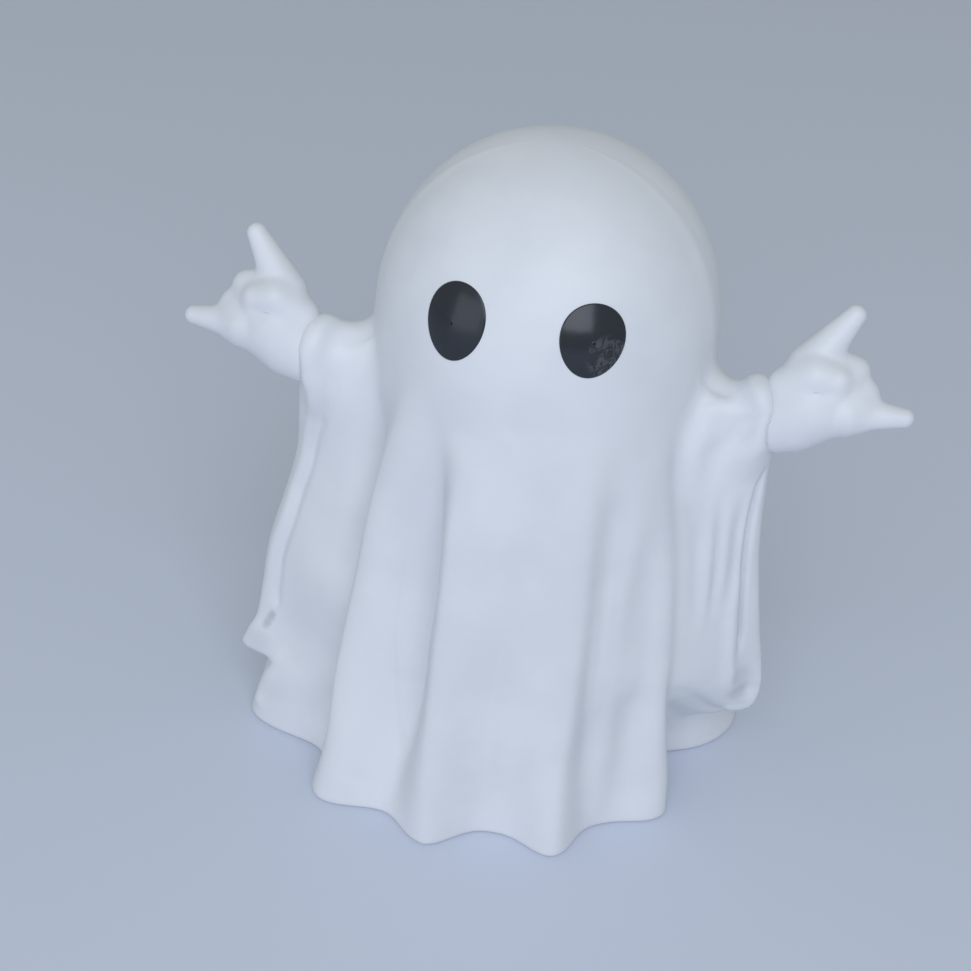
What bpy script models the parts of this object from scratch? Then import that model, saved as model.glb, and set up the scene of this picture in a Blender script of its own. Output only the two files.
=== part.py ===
"""Ghost figurine: a hollow cast sheet with two separate hands and two inlaid eyes.

Metres, +Z up. The figure faces -Y, stands on the plane Z = 0, and the axis of its
head is the Z axis. Its own right hand is at -X.
"""
import math

import bmesh
import bpy
import numpy as np
from mathutils import Matrix, Vector

# Driving sizes
HEIGHT = 0.136
HEAD_RADIUS = 0.0321
SHOULDER_Z = 0.711 * HEIGHT
DOME_POWER = 2.48
HEM_RADIUS = 0.0356
WALL = 0.0030
HEM_ROUND = 0.0007
CLEARANCE = 0.0003

# Sleeves: an arm tube with a flared mouth, and a curtain of cloth hanging from it
ARM_START = Vector((0.0190, 0.0005, 0.0885))
CUFF_CENTRE = Vector((0.0437, -0.0088, 0.0908))
ARM_RADIUS = 0.0060
CUFF_RADIUS = 0.0068
CUFF_CUP_RADIUS = 0.0055
CUFF_CUP_DEPTH = 0.0028
MOUTH_CUT = 0.0040
MOUTH_SPARE = 0.0010
PEG_RADIUS = 0.0030
PEG_LENGTH = 0.0050
PEG_ROOT = 0.0035
WRIST_SPACE_LENGTH = 0.0200
WRIST_TRIM_LENGTH = 0.0120
WRIST_TRIM_RADIUS = 0.0150
LIP_HALF_ANGLE = math.radians(5.0)
EDGE_ROUND = 0.1

# Eyes, placed by their height over the shoulder as a share of the head's height
EYE_AZIMUTH = math.radians(23.3)
EYE_Z = SHOULDER_Z + 0.407 * (HEIGHT - SHOULDER_Z)
EYE_HALF_WIDTH = 0.0058
EYE_HALF_HEIGHT = 0.0072
LEFT_EYE_SHARE = 0.93
EYE_TAPER = 0.10
EYE_DEPTH = 0.0016
EYE_PROUD = 0.0004
EYE_RIM_SINK = 0.0003
EYE_SQUASH = 0.93
EYE_RINGS = 6
POCKET_PROUD = 0.0030
SLOPE_STEP = 0.0002
EYE_TILT = {"right": math.radians(-2.0), "left": math.radians(10.0)}

# Mesh steps
AZIMUTH_STEPS = 108
DOME_ROWS = 10
SKIRT_ROWS = 24
ROW_CROWDING = 0.6
FINE_STEPS = 1440
FRONT_AZIMUTHS = (math.radians(118.0), math.radians(92.0))
BACK_DENSITY = 0.7
SPACING_LEVELS = (0.15, 0.33, 0.60)
ROUND_STEPS = 28
LIMB_STEPS = 20
LIMB_ROWS = 12
SHARP_ANGLE = math.radians(50.0)

# Folds of the skirt. Azimuth is in degrees from the front, positive towards the
# figure's left. Heights and reaches are shares of HEIGHT. For each fold: azimuth at
# the hem, at MIDDLE and at its start, half angle of its two flanks at the hem and at
# MIDDLE, reach at the hem and at MIDDLE, and the height where it starts.
MIDDLE = 0.33
FOLDS = (
    (-46.5, -47.3, -36.0, 12.5, 12.5, 5.0, 14.0, 0.104, 0.044, 0.73),
    (-15.8, -15.4, -14.5, 8.5, 8.5, 6.0, 9.0, 0.0624, 0.022, 0.68),
    (20.5, 24.0, 25.2, 9.0, 9.0, 11.0, 6.0, 0.046, 0.016, 0.70),
    (57.0, 55.4, 51.0, 11.0, 11.0, 8.0, 5.5, 0.044, 0.024, 0.68),
    (104.0, 106.0, 112.0, 14.5, 17.0, 25.0, 14.0, 0.114, 0.027, 0.52),
    (137.0, 139.0, 140.0, 12.0, 12.0, 9.0, 9.0, 0.070, 0.031, 0.68),
    (172.0, 170.0, 168.0, 11.0, 11.0, 7.5, 7.5, 0.0541, 0.029, 0.71),
    (-157.0, -159.0, -160.0, 9.0, 9.0, 6.0, 6.0, 0.059, 0.024, 0.67),
    (-129.0, -132.0, -134.0, 12.0, 12.0, 10.0, 10.0, 0.088, 0.034, 0.69),
    (-82.5, -89.5, -92.0, 22.0, 22.0, 19.0, 19.0, 0.180, 0.028, 0.45),
)

# Valleys between them: azimuth at the hem and at the top, half angle, depth, and the
# heights of the lower and the upper end, as shares of HEIGHT
VALLEYS = (
    (-31.0, -23.0, 7.0, 0.017, 0.02, 0.70),
    (6.0, 16.0, 6.5, 0.006, 0.02, 0.64),
    (30.0, 34.0, 5.0, 0.006, 0.00, 0.68),
    (47.0, 50.0, 4.5, 0.005, 0.02, 0.56),
    (73.0, 62.0, 6.5, 0.012, 0.00, 0.70),
    (154.0, 154.0, 5.5, 0.010, 0.00, 0.62),
    (-174.0, -177.0, 5.5, 0.010, 0.00, 0.59),
    (-143.0, -147.0, 5.5, 0.010, 0.00, 0.60),
    (-106.0, -106.0, 7.0, 0.010, 0.00, 0.64),
)

# Curtains: marks of height and value. line is the azimuth of the outer edge, edge how
# far it is from the axis, lip how far the thin lip of its corner stands out over that,
# front and back the half angles of its two faces, power how blunt the edge is, and
# hem_rise how much higher the lower end lies for each degree towards the front.
# Heights and lengths are shares of HEIGHT.
CURTAINS = {
    "left": {
        "line": ((0.06, 84.5), (0.13, 83.5), (0.22, 82.0), (0.44, 80.0), (0.68, 78.6)),
        "edge": (
            (0.0, 0.265), (0.06, 0.276), (0.095, 0.303), (0.12, 0.337), (0.14, 0.346),
            (0.17, 0.355), (0.20, 0.358), (0.25, 0.357), (0.32, 0.350), (0.43, 0.340),
            (0.52, 0.334), (0.59, 0.333), (0.62, 0.331), (0.65, 0.326), (0.70, 0.309),
        ),
        "lip": ((0.095, 0.0), (0.125, 0.012), (0.155, 0.019), (0.20, 0.018), (0.44, 0.0)),
        "front": ((0.0, 17.0), (0.22, 17.0), (0.44, 14.0), (0.56, 12.0), (0.65, 11.5)),
        "back": ((0.0, 9.0), (0.22, 9.0), (0.44, 10.0), (0.56, 11.0), (0.65, 11.5)),
        "power": ((0.0, 1.15), (0.22, 1.1), (0.40, 1.3), (0.51, 2.0), (0.65, 3.2)),
        "hem_rise": 0.0055,
    },
    "right": {
        "line": ((0.0, 81.0), (0.09, 80.0), (0.15, 79.0), (0.44, 79.5), (0.68, 78.6)),
        "edge": (
            (0.0, 0.323), (0.06, 0.338), (0.105, 0.350), (0.122, 0.371), (0.133, 0.396),
            (0.147, 0.395), (0.17, 0.390), (0.205, 0.387), (0.25, 0.390), (0.295, 0.390),
            (0.34, 0.387), (0.43, 0.366), (0.515, 0.346), (0.55, 0.343), (0.59, 0.343),
            (0.62, 0.339), (0.65, 0.329), (0.70, 0.309),
        ),
        "lip": ((0.12, 0.0), (0.133, 0.029), (0.155, 0.037), (0.19, 0.029),
                (0.25, 0.015), (0.34, 0.006), (0.44, 0.0)),
        "front": ((0.0, 20.0), (0.18, 20.0), (0.33, 18.5), (0.44, 15.5), (0.65, 11.5)),
        "back": ((0.0, 11.0), (0.18, 9.0), (0.33, 9.5), (0.44, 10.5), (0.65, 11.5)),
        "power": ((0.0, 1.1), (0.22, 1.05), (0.40, 1.25), (0.51, 1.9), (0.65, 3.2)),
        "hem_rise": 0.0,
    },
}
CURTAIN_TOP = 0.713
CURTAIN_FADE = 0.073
VALLEY_COVER = 0.037
HEM_RISE_ANGLE = math.radians(24.0)
HEM_RISE_LEVELS = (0.38, 0.265)

# Hand, drawn for the figure's left side from the centre of the cuff, in multiples of
# HAND_SIZE: two ends and two radii for each limb
HAND_SIZE = 0.0250
LIMBS = (
    ("wrist", (-0.004, 0.000, 0.000), (0.252, 0.040, 0.148), 0.176, 0.224),
    ("palm_low", (0.252, 0.032, 0.120), (0.492, 0.024, 0.144), 0.212, 0.152),
    ("palm_high", (0.252, 0.048, 0.248), (0.432, 0.104, 0.388), 0.208, 0.136),
    ("index", (0.208, 0.104, 0.448), (0.464, 0.244, 0.816), 0.164, 0.076),
    ("little", (0.552, 0.032, 0.148), (0.932, 0.052, 0.152), 0.140, 0.072),
    ("middle", (0.520, 0.152, 0.416), (0.412, 0.000, 0.328), 0.116, 0.096),
    ("ring", (0.612, 0.112, 0.268), (0.500, -0.040, 0.188), 0.116, 0.096),
    ("thumb_root", (0.040, 0.008, 0.308), (0.252, -0.028, 0.448), 0.116, 0.104),
    ("thumb_tip", (0.252, -0.028, 0.448), (0.404, -0.032, 0.432), 0.104, 0.084),
)
HAND_VOXEL = 0.00060
HAND_KEEP = 0.22

# Finishes: colour, roughness, metallic
SATIN_WHITE = ((0.80, 0.84, 0.88, 1.0), 0.55, 0.0)
GLOSS_BLACK = ((0.020, 0.024, 0.032, 1.0), 0.10, 0.0)

SIDES = {"right": -1.0, "left": 1.0}


def smooth_step(edge0, edge1, value):
    """Return the smooth 0 to 1 step of an array between two edges."""
    ratio = np.clip((value - edge0) / (edge1 - edge0), 0.0, 1.0)
    return ratio * ratio * (3.0 - 2.0 * ratio)


def core_radius(z):
    """Return the radius of the sheet without folds or sleeves at the heights z."""
    share = np.clip((z - SHOULDER_Z) / (HEIGHT - SHOULDER_Z), 0.0, 1.0)
    dome = HEAD_RADIUS * np.sqrt(np.maximum(1.0 - share ** DOME_POWER, 0.0))
    drop = np.clip((SHOULDER_Z - z) / SHOULDER_Z, 0.0, 1.0)
    skirt = HEAD_RADIUS + (HEM_RADIUS - HEAD_RADIUS) * drop
    return np.where(z > SHOULDER_Z, dome, skirt)


def angle_gap(azimuth, centre):
    """Return the signed angle from centre to azimuth, within half a turn."""
    return (azimuth - centre + math.pi) % (2.0 * math.pi) - math.pi


def track(height, marks):
    """Interpolate smoothly through (height, value) marks, held beyond the end marks."""
    heights = np.array([mark[0] for mark in marks])
    values = np.array([mark[1] for mark in marks])
    slopes = np.gradient(values, heights)
    index = np.clip(np.searchsorted(heights, height) - 1, 0, len(marks) - 2)
    span = heights[index + 1] - heights[index]
    share = np.clip((height - heights[index]) / span, 0.0, 1.0)
    square = share * share
    cube = square * share
    return (
        values[index] * (2.0 * cube - 3.0 * square + 1.0)
        + slopes[index] * span * (cube - 2.0 * square + share)
        + values[index + 1] * (3.0 * square - 2.0 * cube)
        + slopes[index + 1] * span * (cube - square)
    )


def fold_reach(azimuth, level):
    """Return how far the folds stand out from the core at each azimuth and level."""
    reach = np.zeros(np.broadcast(azimuth, level).shape)
    for fold in FOLDS:
        hem, middle, top, low_hem, high_hem, low_mid, high_mid, hem_reach, mid_reach, start = fold
        marks = (0.0, MIDDLE, start)
        centre = np.radians(np.interp(level, marks, (hem, middle, top)))
        lower = np.radians(np.interp(level, marks, (low_hem, low_mid, low_mid)))
        upper = np.radians(np.interp(level, marks, (high_hem, high_mid, high_mid)))
        growth = math.log(mid_reach / hem_reach) / math.log((start - MIDDLE) / start)
        drop = np.clip((start - level) / start, 0.0, 1.0)
        gap = angle_gap(azimuth, centre)
        flank = gap / np.where(gap > 0.0, upper, lower)
        reach = reach + HEIGHT * hem_reach * drop ** growth * np.exp(-flank ** 2)
    return reach


def valley_depth(azimuth, level):
    """Return how deep the valleys are at each azimuth and level."""
    depth = np.zeros(np.broadcast(azimuth, level).shape)
    for hem, top, half_angle, deepest, low, high in VALLEYS:
        share = np.clip((level - low) / (high - low), 0.0, 1.0)
        centre = np.radians(hem + (top - hem) * share)
        gap = angle_gap(azimuth, centre) / math.radians(half_angle)
        depth = depth + HEIGHT * deepest * np.sin(math.pi * share) * np.exp(-gap ** 2)
    return depth


def curtain_reach(side, azimuth, level):
    """Return how far one hanging sleeve stands out from the core."""
    shape = CURTAINS[side]
    sign = SIDES[side]
    line = np.radians(track(level, shape["line"]))
    gap = -sign * angle_gap(azimuth, sign * line)
    half = np.where(gap > 0.0, track(level, shape["front"]), track(level, shape["back"]))
    rise = shape["hem_rise"] * np.degrees(np.clip(gap, 0.0, HEM_RISE_ANGLE))
    lower = level - rise * smooth_step(*HEM_RISE_LEVELS, level)
    out = np.maximum(HEIGHT * track(lower, shape["edge"]) - core_radius(HEIGHT * level), 0.0)
    out = out * smooth_step(CURTAIN_TOP, CURTAIN_TOP - CURTAIN_FADE, level)
    across = np.sqrt((gap / np.radians(half)) ** 2 + EDGE_ROUND ** 2) - EDGE_ROUND
    lip = HEIGHT * track(level, shape["lip"]) * np.exp(-(gap / LIP_HALF_ANGLE) ** 2)
    return out * np.exp(-across ** track(level, shape["power"])) + lip


def sheet_radius(azimuth, z, inset, curtains):
    """Return the distance of the sheet from the axis.

    inset is taken off the whole radius; curtains tells whether the sleeves count.
    Ridges and sleeves join as the cube root of the sum of their cubes, and valleys
    fade out under a sleeve.
    """
    level = z / HEIGHT
    ridge = fold_reach(azimuth, level) ** 3
    depth = valley_depth(azimuth, level)
    for side in SIDES:
        hanging = curtain_reach(side, azimuth, level)
        depth = depth * smooth_step(VALLEY_COVER * HEIGHT, 0.0, hanging)
        if curtains:
            ridge = ridge + hanging ** 3
    return core_radius(z) + np.cbrt(ridge) - depth - inset


def azimuth_samples(steps):
    """Return azimuths evenly spaced along the sheet's outline, sparser at the back."""
    fine = np.linspace(-math.pi, math.pi, FINE_STEPS + 1)
    length = np.zeros(FINE_STEPS)
    for level in SPACING_LEVELS:
        radius = sheet_radius(fine, np.full(fine.shape, level * HEIGHT), 0.0, True)
        length += np.hypot(np.diff(radius * np.sin(fine)), np.diff(radius * np.cos(fine)))
    middle = np.abs(0.5 * (fine[1:] + fine[:-1]))
    front = smooth_step(*FRONT_AZIMUTHS, middle)
    length = length * (BACK_DENSITY + (1.0 - BACK_DENSITY) * front)
    total = np.concatenate(([0.0], np.cumsum(length)))
    return np.interp(np.arange(steps) / steps * total[-1], total, fine)


def ring_loft(name, rows, apex_z, base_z, steps):
    """Build a closed solid from rings of (z, radius function), the highest first."""
    azimuth = azimuth_samples(steps)
    points = [(0.0, 0.0, apex_z)]
    for z, radius_of in rows:
        radius = radius_of(azimuth)
        ring = np.stack((radius * np.sin(azimuth), -radius * np.cos(azimuth)), axis=1)
        points.extend((x, y, z) for x, y in ring)
    points.append((0.0, 0.0, base_z))
    faces = []
    for index in range(steps):
        follow = (index + 1) % steps
        faces.append((0, 1 + index, 1 + follow))
        for row in range(len(rows) - 1):
            top = 1 + row * steps
            low = top + steps
            faces.append((top + index, low + index, low + follow, top + follow))
        last = 1 + (len(rows) - 1) * steps
        faces.append((last + index, len(points) - 1, last + follow))
    mesh = bpy.data.meshes.new(name)
    mesh.from_pydata(points, [], faces)
    solid = bpy.data.objects.new(name, mesh)
    face_out(solid)
    return solid


def face_out(solid):
    """Turn the faces of a closed mesh outwards."""
    work = bmesh.new()
    work.from_mesh(solid.data)
    bmesh.ops.recalc_face_normals(work, faces=work.faces)
    if work.calc_volume(signed=True) < 0.0:
        bmesh.ops.reverse_faces(work, faces=work.faces)
    work.to_mesh(solid.data)
    work.free()


def skirt_heights(count):
    """Return heights from the shoulder to the hem, closer at the arms and the hem."""
    even = np.linspace(0.0, 1.0, count + 1)[1:]
    crowded = even - ROW_CROWDING * np.sin(2.0 * math.pi * even) / (2.0 * math.pi)
    return SHOULDER_Z * (1.0 - crowded)


def outer_sheet(collection):
    """Return the solid filled by the outside of the sheet."""
    rows = []
    for step in range(1, DOME_ROWS + 1):
        share = math.cos(0.5 * math.pi * step / DOME_ROWS)
        z = SHOULDER_Z + (HEIGHT - SHOULDER_Z) * share
        rows.append((z, ring_at(z, 0.0, True)))
    for z in skirt_heights(SKIRT_ROWS)[:-1]:
        rows.append((float(z), ring_at(float(z), 0.0, True)))
    rows.append((HEM_ROUND, ring_at(0.0, 0.0, True)))
    rows.append((0.0, ring_at(0.0, HEM_ROUND, True)))
    solid = ring_loft("sheet_body", rows, HEIGHT, 0.0, AZIMUTH_STEPS)
    collection.objects.link(solid)
    return solid


def inner_sheet(collection):
    """Return the cutter for the hollow inside of the sheet, open at the hem."""
    rows = []
    scale = (HEAD_RADIUS - WALL) / HEAD_RADIUS
    for step in range(1, DOME_ROWS // 2 + 1):
        share = math.cos(math.pi * step / DOME_ROWS)
        z = SHOULDER_Z + (HEIGHT - WALL - SHOULDER_Z) * share
        plain = HEAD_RADIUS * scale * math.sqrt(1.0 - share ** DOME_POWER)
        rows.append((z, constant_ring(plain)))
    for z in skirt_heights(SKIRT_ROWS // 2)[:-1]:
        rows.append((float(z), ring_at(float(z), WALL, False)))
    rows.append((HEM_ROUND, ring_at(0.0, WALL, False)))
    rows.append((0.0, ring_at(0.0, WALL - HEM_ROUND, False)))
    rows.append((-WALL, ring_at(0.0, WALL - HEM_ROUND, False)))
    solid = ring_loft("hollow_cutter", rows, HEIGHT - WALL, -WALL, AZIMUTH_STEPS // 2)
    collection.objects.link(solid)
    return solid


def ring_at(z, inset, curtains):
    """Return the radius function of one ring of the sheet."""
    return lambda azimuth: sheet_radius(azimuth, np.full(azimuth.shape, z), inset, curtains)


def constant_ring(radius):
    """Return the radius function of one plain round ring."""
    return lambda azimuth: np.full(azimuth.shape, radius)


def mirrored(point, sign):
    """Return a point drawn for the left side on the side given by sign."""
    return Vector((point[0] * sign, point[1], point[2]))


def cylinder_between(name, start, end, radius_start, radius_end, collection):
    """Add a closed cone or cylinder from start to end."""
    axis = end - start
    work = bmesh.new()
    bmesh.ops.create_cone(
        work,
        cap_ends=True,
        segments=ROUND_STEPS,
        radius1=radius_start,
        radius2=radius_end,
        depth=axis.length,
    )
    turn = Vector((0.0, 0.0, 1.0)).rotation_difference(axis.normalized()).to_matrix()
    place = Matrix.Translation((start + end) * 0.5) @ turn.to_4x4()
    bmesh.ops.transform(work, matrix=place, verts=work.verts)
    mesh = bpy.data.meshes.new(name)
    work.to_mesh(mesh)
    work.free()
    solid = bpy.data.objects.new(name, mesh)
    collection.objects.link(solid)
    return solid


def limb(name, start, end, radius_start, radius_end, collection):
    """Add a rounded tapered limb: the hull of a ball at each end."""
    work = bmesh.new()
    for centre, radius in ((start, radius_start), (end, radius_end)):
        bmesh.ops.create_uvsphere(
            work,
            u_segments=LIMB_STEPS,
            v_segments=LIMB_ROWS,
            radius=radius,
            matrix=Matrix.Translation(centre),
        )
    bmesh.ops.delete(work, geom=list(work.edges), context="EDGES_FACES")
    hull = bmesh.ops.convex_hull(work, input=work.verts)
    spare = {item for item in hull["geom_interior"] if isinstance(item, bmesh.types.BMVert)}
    bmesh.ops.delete(work, geom=list(spare), context="VERTS")
    mesh = bpy.data.meshes.new(name)
    work.to_mesh(mesh)
    work.free()
    solid = bpy.data.objects.new(name, mesh)
    face_out(solid)
    collection.objects.link(solid)
    return solid


def apply_modifiers(target):
    """Bake the modifiers of an object into its mesh."""
    graph = bpy.context.evaluated_depsgraph_get()
    mesh = bpy.data.meshes.new_from_object(target.evaluated_get(graph))
    target.modifiers.clear()
    target.data = mesh


def combine(target, tool, operation):
    """Apply an exact Boolean of the tool to the target."""
    step = target.modifiers.new(tool.name, "BOOLEAN")
    step.operation = operation
    step.solver = "EXACT"
    step.object = tool
    apply_modifiers(target)


def build_body(collection, cutters):
    """Return the hollow sheet with its sleeves, sockets and eye pockets."""
    body = outer_sheet(collection)
    for side, sign in SIDES.items():
        outward = (mirrored(CUFF_CENTRE, sign) - mirrored(ARM_START, sign)).normalized()
        arm = cylinder_between(
            "arm_" + side,
            mirrored(ARM_START, sign),
            mirrored(CUFF_CENTRE, sign) + outward * MOUTH_SPARE,
            ARM_RADIUS,
            CUFF_RADIUS,
            cutters,
        )
        combine(body, arm, "UNION")
    combine(body, inner_sheet(cutters), "DIFFERENCE")
    for side, sign in SIDES.items():
        inward = (mirrored(ARM_START, sign) - mirrored(CUFF_CENTRE, sign)).normalized()
        mouth = mirrored(CUFF_CENTRE, sign) - inward * MOUTH_CUT
        trim = cylinder_between(
            "mouth_trim_" + side,
            mouth,
            mirrored(CUFF_CENTRE, sign),
            CUFF_RADIUS + MOUTH_SPARE,
            CUFF_RADIUS + MOUTH_SPARE,
            cutters,
        )
        combine(body, trim, "DIFFERENCE")
        cup_end = mirrored(CUFF_CENTRE, sign) + inward * CUFF_CUP_DEPTH
        cup = cylinder_between(
            "cup_" + side,
            mouth,
            cup_end,
            CUFF_CUP_RADIUS,
            CUFF_CUP_RADIUS,
            cutters,
        )
        combine(body, cup, "DIFFERENCE")
        socket = cylinder_between(
            "socket_" + side,
            mouth,
            cup_end + inward * (PEG_LENGTH + CLEARANCE),
            PEG_RADIUS + CLEARANCE,
            PEG_RADIUS + CLEARANCE,
            cutters,
        )
        combine(body, socket, "DIFFERENCE")
        pocket = eye_solid("pocket_" + side, side, sign, CLEARANCE, POCKET_PROUD, cutters)
        combine(body, pocket, "DIFFERENCE")
    return body


def eye_point(side, sign, across, up, outward):
    """Return a point on the head at an offset from the centre of one eye.

    across and up are distances on the face of the eye, outward is the height over
    the surface of the head.
    """
    tilt = EYE_TILT[side] * sign
    turned_across = across * math.cos(tilt) + up * math.sin(tilt)
    turned_up = -across * math.sin(tilt) + up * math.cos(tilt)
    z = EYE_Z + turned_up * EYE_SQUASH
    radius = float(core_radius(np.array(z)))
    azimuth = sign * EYE_AZIMUTH + turned_across / radius
    above = float(core_radius(np.array(z + SLOPE_STEP)))
    below = float(core_radius(np.array(z - SLOPE_STEP)))
    lean = math.atan2(below - above, 2.0 * SLOPE_STEP)
    reach = radius + outward * math.cos(lean)
    return Vector((
        reach * math.sin(azimuth),
        -reach * math.cos(azimuth),
        z + outward * math.sin(lean),
    ))


def eye_solid(name, side, sign, margin, proud, collection):
    """Add an egg-shaped plug that follows the curve of the head.

    The eye itself is slightly domed. The pocket has the outline grown by a margin and
    a plain outer face that stands clear of the head.
    """
    rings = EYE_RINGS
    is_pocket = margin > 0.0
    depth = EYE_DEPTH + margin
    half_height = EYE_HALF_HEIGHT * (LEFT_EYE_SHARE if sign > 0.0 else 1.0)
    points = []
    for face_sign in (1.0, -1.0):
        points.append(eye_point(side, sign, 0.0, 0.0, proud if face_sign > 0 else -depth))
        for ring in range(1, rings + 1):
            share = ring / rings
            for step in range(ROUND_STEPS):
                angle = 2.0 * math.pi * step / ROUND_STEPS
                width = EYE_HALF_WIDTH * (1.0 + EYE_TAPER * math.sin(angle)) + margin
                across = width * share * math.cos(angle)
                up = (half_height + margin) * share * math.sin(angle)
                if face_sign < 0.0:
                    outward = -depth
                elif is_pocket:
                    outward = proud
                else:
                    outward = (proud + EYE_RIM_SINK) * (1.0 - share ** 2) - EYE_RIM_SINK
                points.append(eye_point(side, sign, across, up, outward))
    block = 1 + rings * ROUND_STEPS
    faces = []
    for layer in range(2):
        start = layer * block
        for step in range(ROUND_STEPS):
            follow = (step + 1) % ROUND_STEPS
            faces.append((start, start + 1 + step, start + 1 + follow))
            for ring in range(rings - 1):
                near = start + 1 + ring * ROUND_STEPS
                far = near + ROUND_STEPS
                faces.append((near + step, far + step, far + follow, near + follow))
    edge = 1 + (rings - 1) * ROUND_STEPS
    for step in range(ROUND_STEPS):
        follow = (step + 1) % ROUND_STEPS
        faces.append((edge + step, edge + block + step, edge + block + follow, edge + follow))
    mesh = bpy.data.meshes.new(name)
    mesh.from_pydata(points, [], faces)
    solid = bpy.data.objects.new(name, mesh)
    face_out(solid)
    collection.objects.link(solid)
    return solid


def build_hand(side, sign, collection, cutters):
    """Return one hand with its wrist peg."""
    hand = None
    for name, start, end, radius_start, radius_end in LIMBS:
        piece = limb(
            name + "_" + side,
            mirrored(CUFF_CENTRE + HAND_SIZE * Vector(start), sign),
            mirrored(CUFF_CENTRE + HAND_SIZE * Vector(end), sign),
            HAND_SIZE * radius_start,
            HAND_SIZE * radius_end,
            cutters if hand else collection,
        )
        if hand is None:
            hand = piece
        else:
            combine(hand, piece, "UNION")
    hand.name = side + "_hand"
    grid = hand.modifiers.new("voxels", "REMESH")
    grid.mode = "VOXEL"
    grid.voxel_size = HAND_VOXEL
    soft = hand.modifiers.new("soften", "SMOOTH")
    soft.factor = 0.5
    soft.iterations = 4
    fewer = hand.modifiers.new("fewer", "DECIMATE")
    fewer.ratio = HAND_KEEP
    apply_modifiers(hand)
    inward = (mirrored(ARM_START, sign) - mirrored(CUFF_CENTRE, sign)).normalized()
    cup_floor = mirrored(CUFF_CENTRE, sign) + inward * CUFF_CUP_DEPTH
    wrist = cylinder_between(
        "wrist_space_" + side,
        cup_floor - inward * CLEARANCE,
        cup_floor - inward * WRIST_SPACE_LENGTH,
        CUFF_CUP_RADIUS - CLEARANCE,
        CUFF_CUP_RADIUS - CLEARANCE,
        cutters,
    )
    trim = cylinder_between(
        "wrist_trim_" + side,
        mirrored(CUFF_CENTRE, sign) - inward * CLEARANCE,
        cup_floor + inward * WRIST_TRIM_LENGTH,
        WRIST_TRIM_RADIUS,
        WRIST_TRIM_RADIUS,
        cutters,
    )
    combine(trim, wrist, "DIFFERENCE")
    combine(hand, trim, "DIFFERENCE")
    peg = cylinder_between(
        "peg_" + side,
        cup_floor - inward * PEG_ROOT,
        cup_floor + inward * PEG_LENGTH,
        PEG_RADIUS,
        PEG_RADIUS,
        cutters,
    )
    combine(hand, peg, "UNION")
    return hand


def add_finish(target, name, finish):
    """Give an object its own plain material."""
    colour, roughness, metallic = finish
    material = bpy.data.materials.new(name)
    material.use_nodes = True
    shader = material.node_tree.nodes["Principled BSDF"]
    shader.inputs["Base Color"].default_value = colour
    shader.inputs["Roughness"].default_value = roughness
    shader.inputs["Metallic"].default_value = metallic
    target.data.materials.clear()
    target.data.materials.append(material)


def shade(target):
    """Shade a rounded piece smooth and keep its real edges sharp."""
    for face in target.data.polygons:
        face.use_smooth = True
    target.data.set_sharp_from_angle(angle=SHARP_ANGLE)


def main():
    """Build the figurine from an empty scene."""
    for item in list(bpy.data.objects):
        bpy.data.objects.remove(item)
    figurine = bpy.data.collections.new("ghost_figurine")
    cutters = bpy.data.collections.new("cutters")
    bpy.context.scene.collection.children.link(figurine)
    bpy.context.scene.collection.children.link(cutters)
    body = build_body(figurine, cutters)
    add_finish(body, "sheet_satin_white", SATIN_WHITE)
    shade(body)
    for side, sign in SIDES.items():
        hand = build_hand(side, sign, figurine, cutters)
        add_finish(hand, side + "_hand_satin_white", SATIN_WHITE)
        shade(hand)
        eye = eye_solid(side + "_eye", side, sign, 0.0, EYE_PROUD, figurine)
        add_finish(eye, side + "_eye_gloss_black", GLOSS_BLACK)
        shade(eye)
    for tool in cutters.objects:
        tool.hide_render = True
        tool.display_type = "WIRE"


main()
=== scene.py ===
"""Looks of the ghost figurine: a satin white cast sheet, two hands and two glossy eyes.

Metres, +Z up. The figure faces -Y and stands on Z = 0. Azimuth is measured around the
Z axis from the front (-Y), positive towards +X, the figure's left.
"""
from __future__ import annotations

import logging
import math
from dataclasses import dataclass, field
from enum import Enum

import bpy
import numpy as np
from mathutils import Matrix, Vector


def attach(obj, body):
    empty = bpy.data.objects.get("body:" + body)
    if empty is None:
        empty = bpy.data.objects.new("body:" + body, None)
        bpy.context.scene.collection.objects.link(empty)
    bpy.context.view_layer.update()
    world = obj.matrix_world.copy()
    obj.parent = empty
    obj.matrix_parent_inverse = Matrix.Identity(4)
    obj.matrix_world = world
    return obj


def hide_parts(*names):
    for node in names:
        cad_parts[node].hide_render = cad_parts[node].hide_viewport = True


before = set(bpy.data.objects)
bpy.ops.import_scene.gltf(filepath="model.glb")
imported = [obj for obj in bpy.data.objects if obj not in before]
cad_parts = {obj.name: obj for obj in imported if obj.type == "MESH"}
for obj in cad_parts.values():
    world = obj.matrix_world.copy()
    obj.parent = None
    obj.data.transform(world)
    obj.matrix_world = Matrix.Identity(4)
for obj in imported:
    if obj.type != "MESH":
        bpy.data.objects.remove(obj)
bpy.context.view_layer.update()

LOG = logging.getLogger("ghost")
IMAGE_PIXELS = 971.0
SENSOR_MM = 36.0
MM = 0.001  # Metres in a millimetre
TO_MM = 1000.0  # Millimetres in a metre
QUARTER = 0.5 * math.pi  # A quarter turn
UP = (0.0, 0.0, 1.0)
FLAT = 4.0  # Power of a bell with a flat top
TINY = 1e-12  # Least length that is scaled to 1

Array = np.ndarray
Pair = tuple[float, float]
Point = tuple[float, float, float]
Colour = tuple[float, float, float, float]
Marks = tuple[Pair, ...]


class Side(Enum):
    """The figure's own side of a paired piece, with the sign of its X."""

    RIGHT = -1.0
    LEFT = 1.0

    @property
    def label(self) -> str:
        """Return the lower-case name used in node names."""
        return self.name.lower()


# Array helpers


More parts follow.
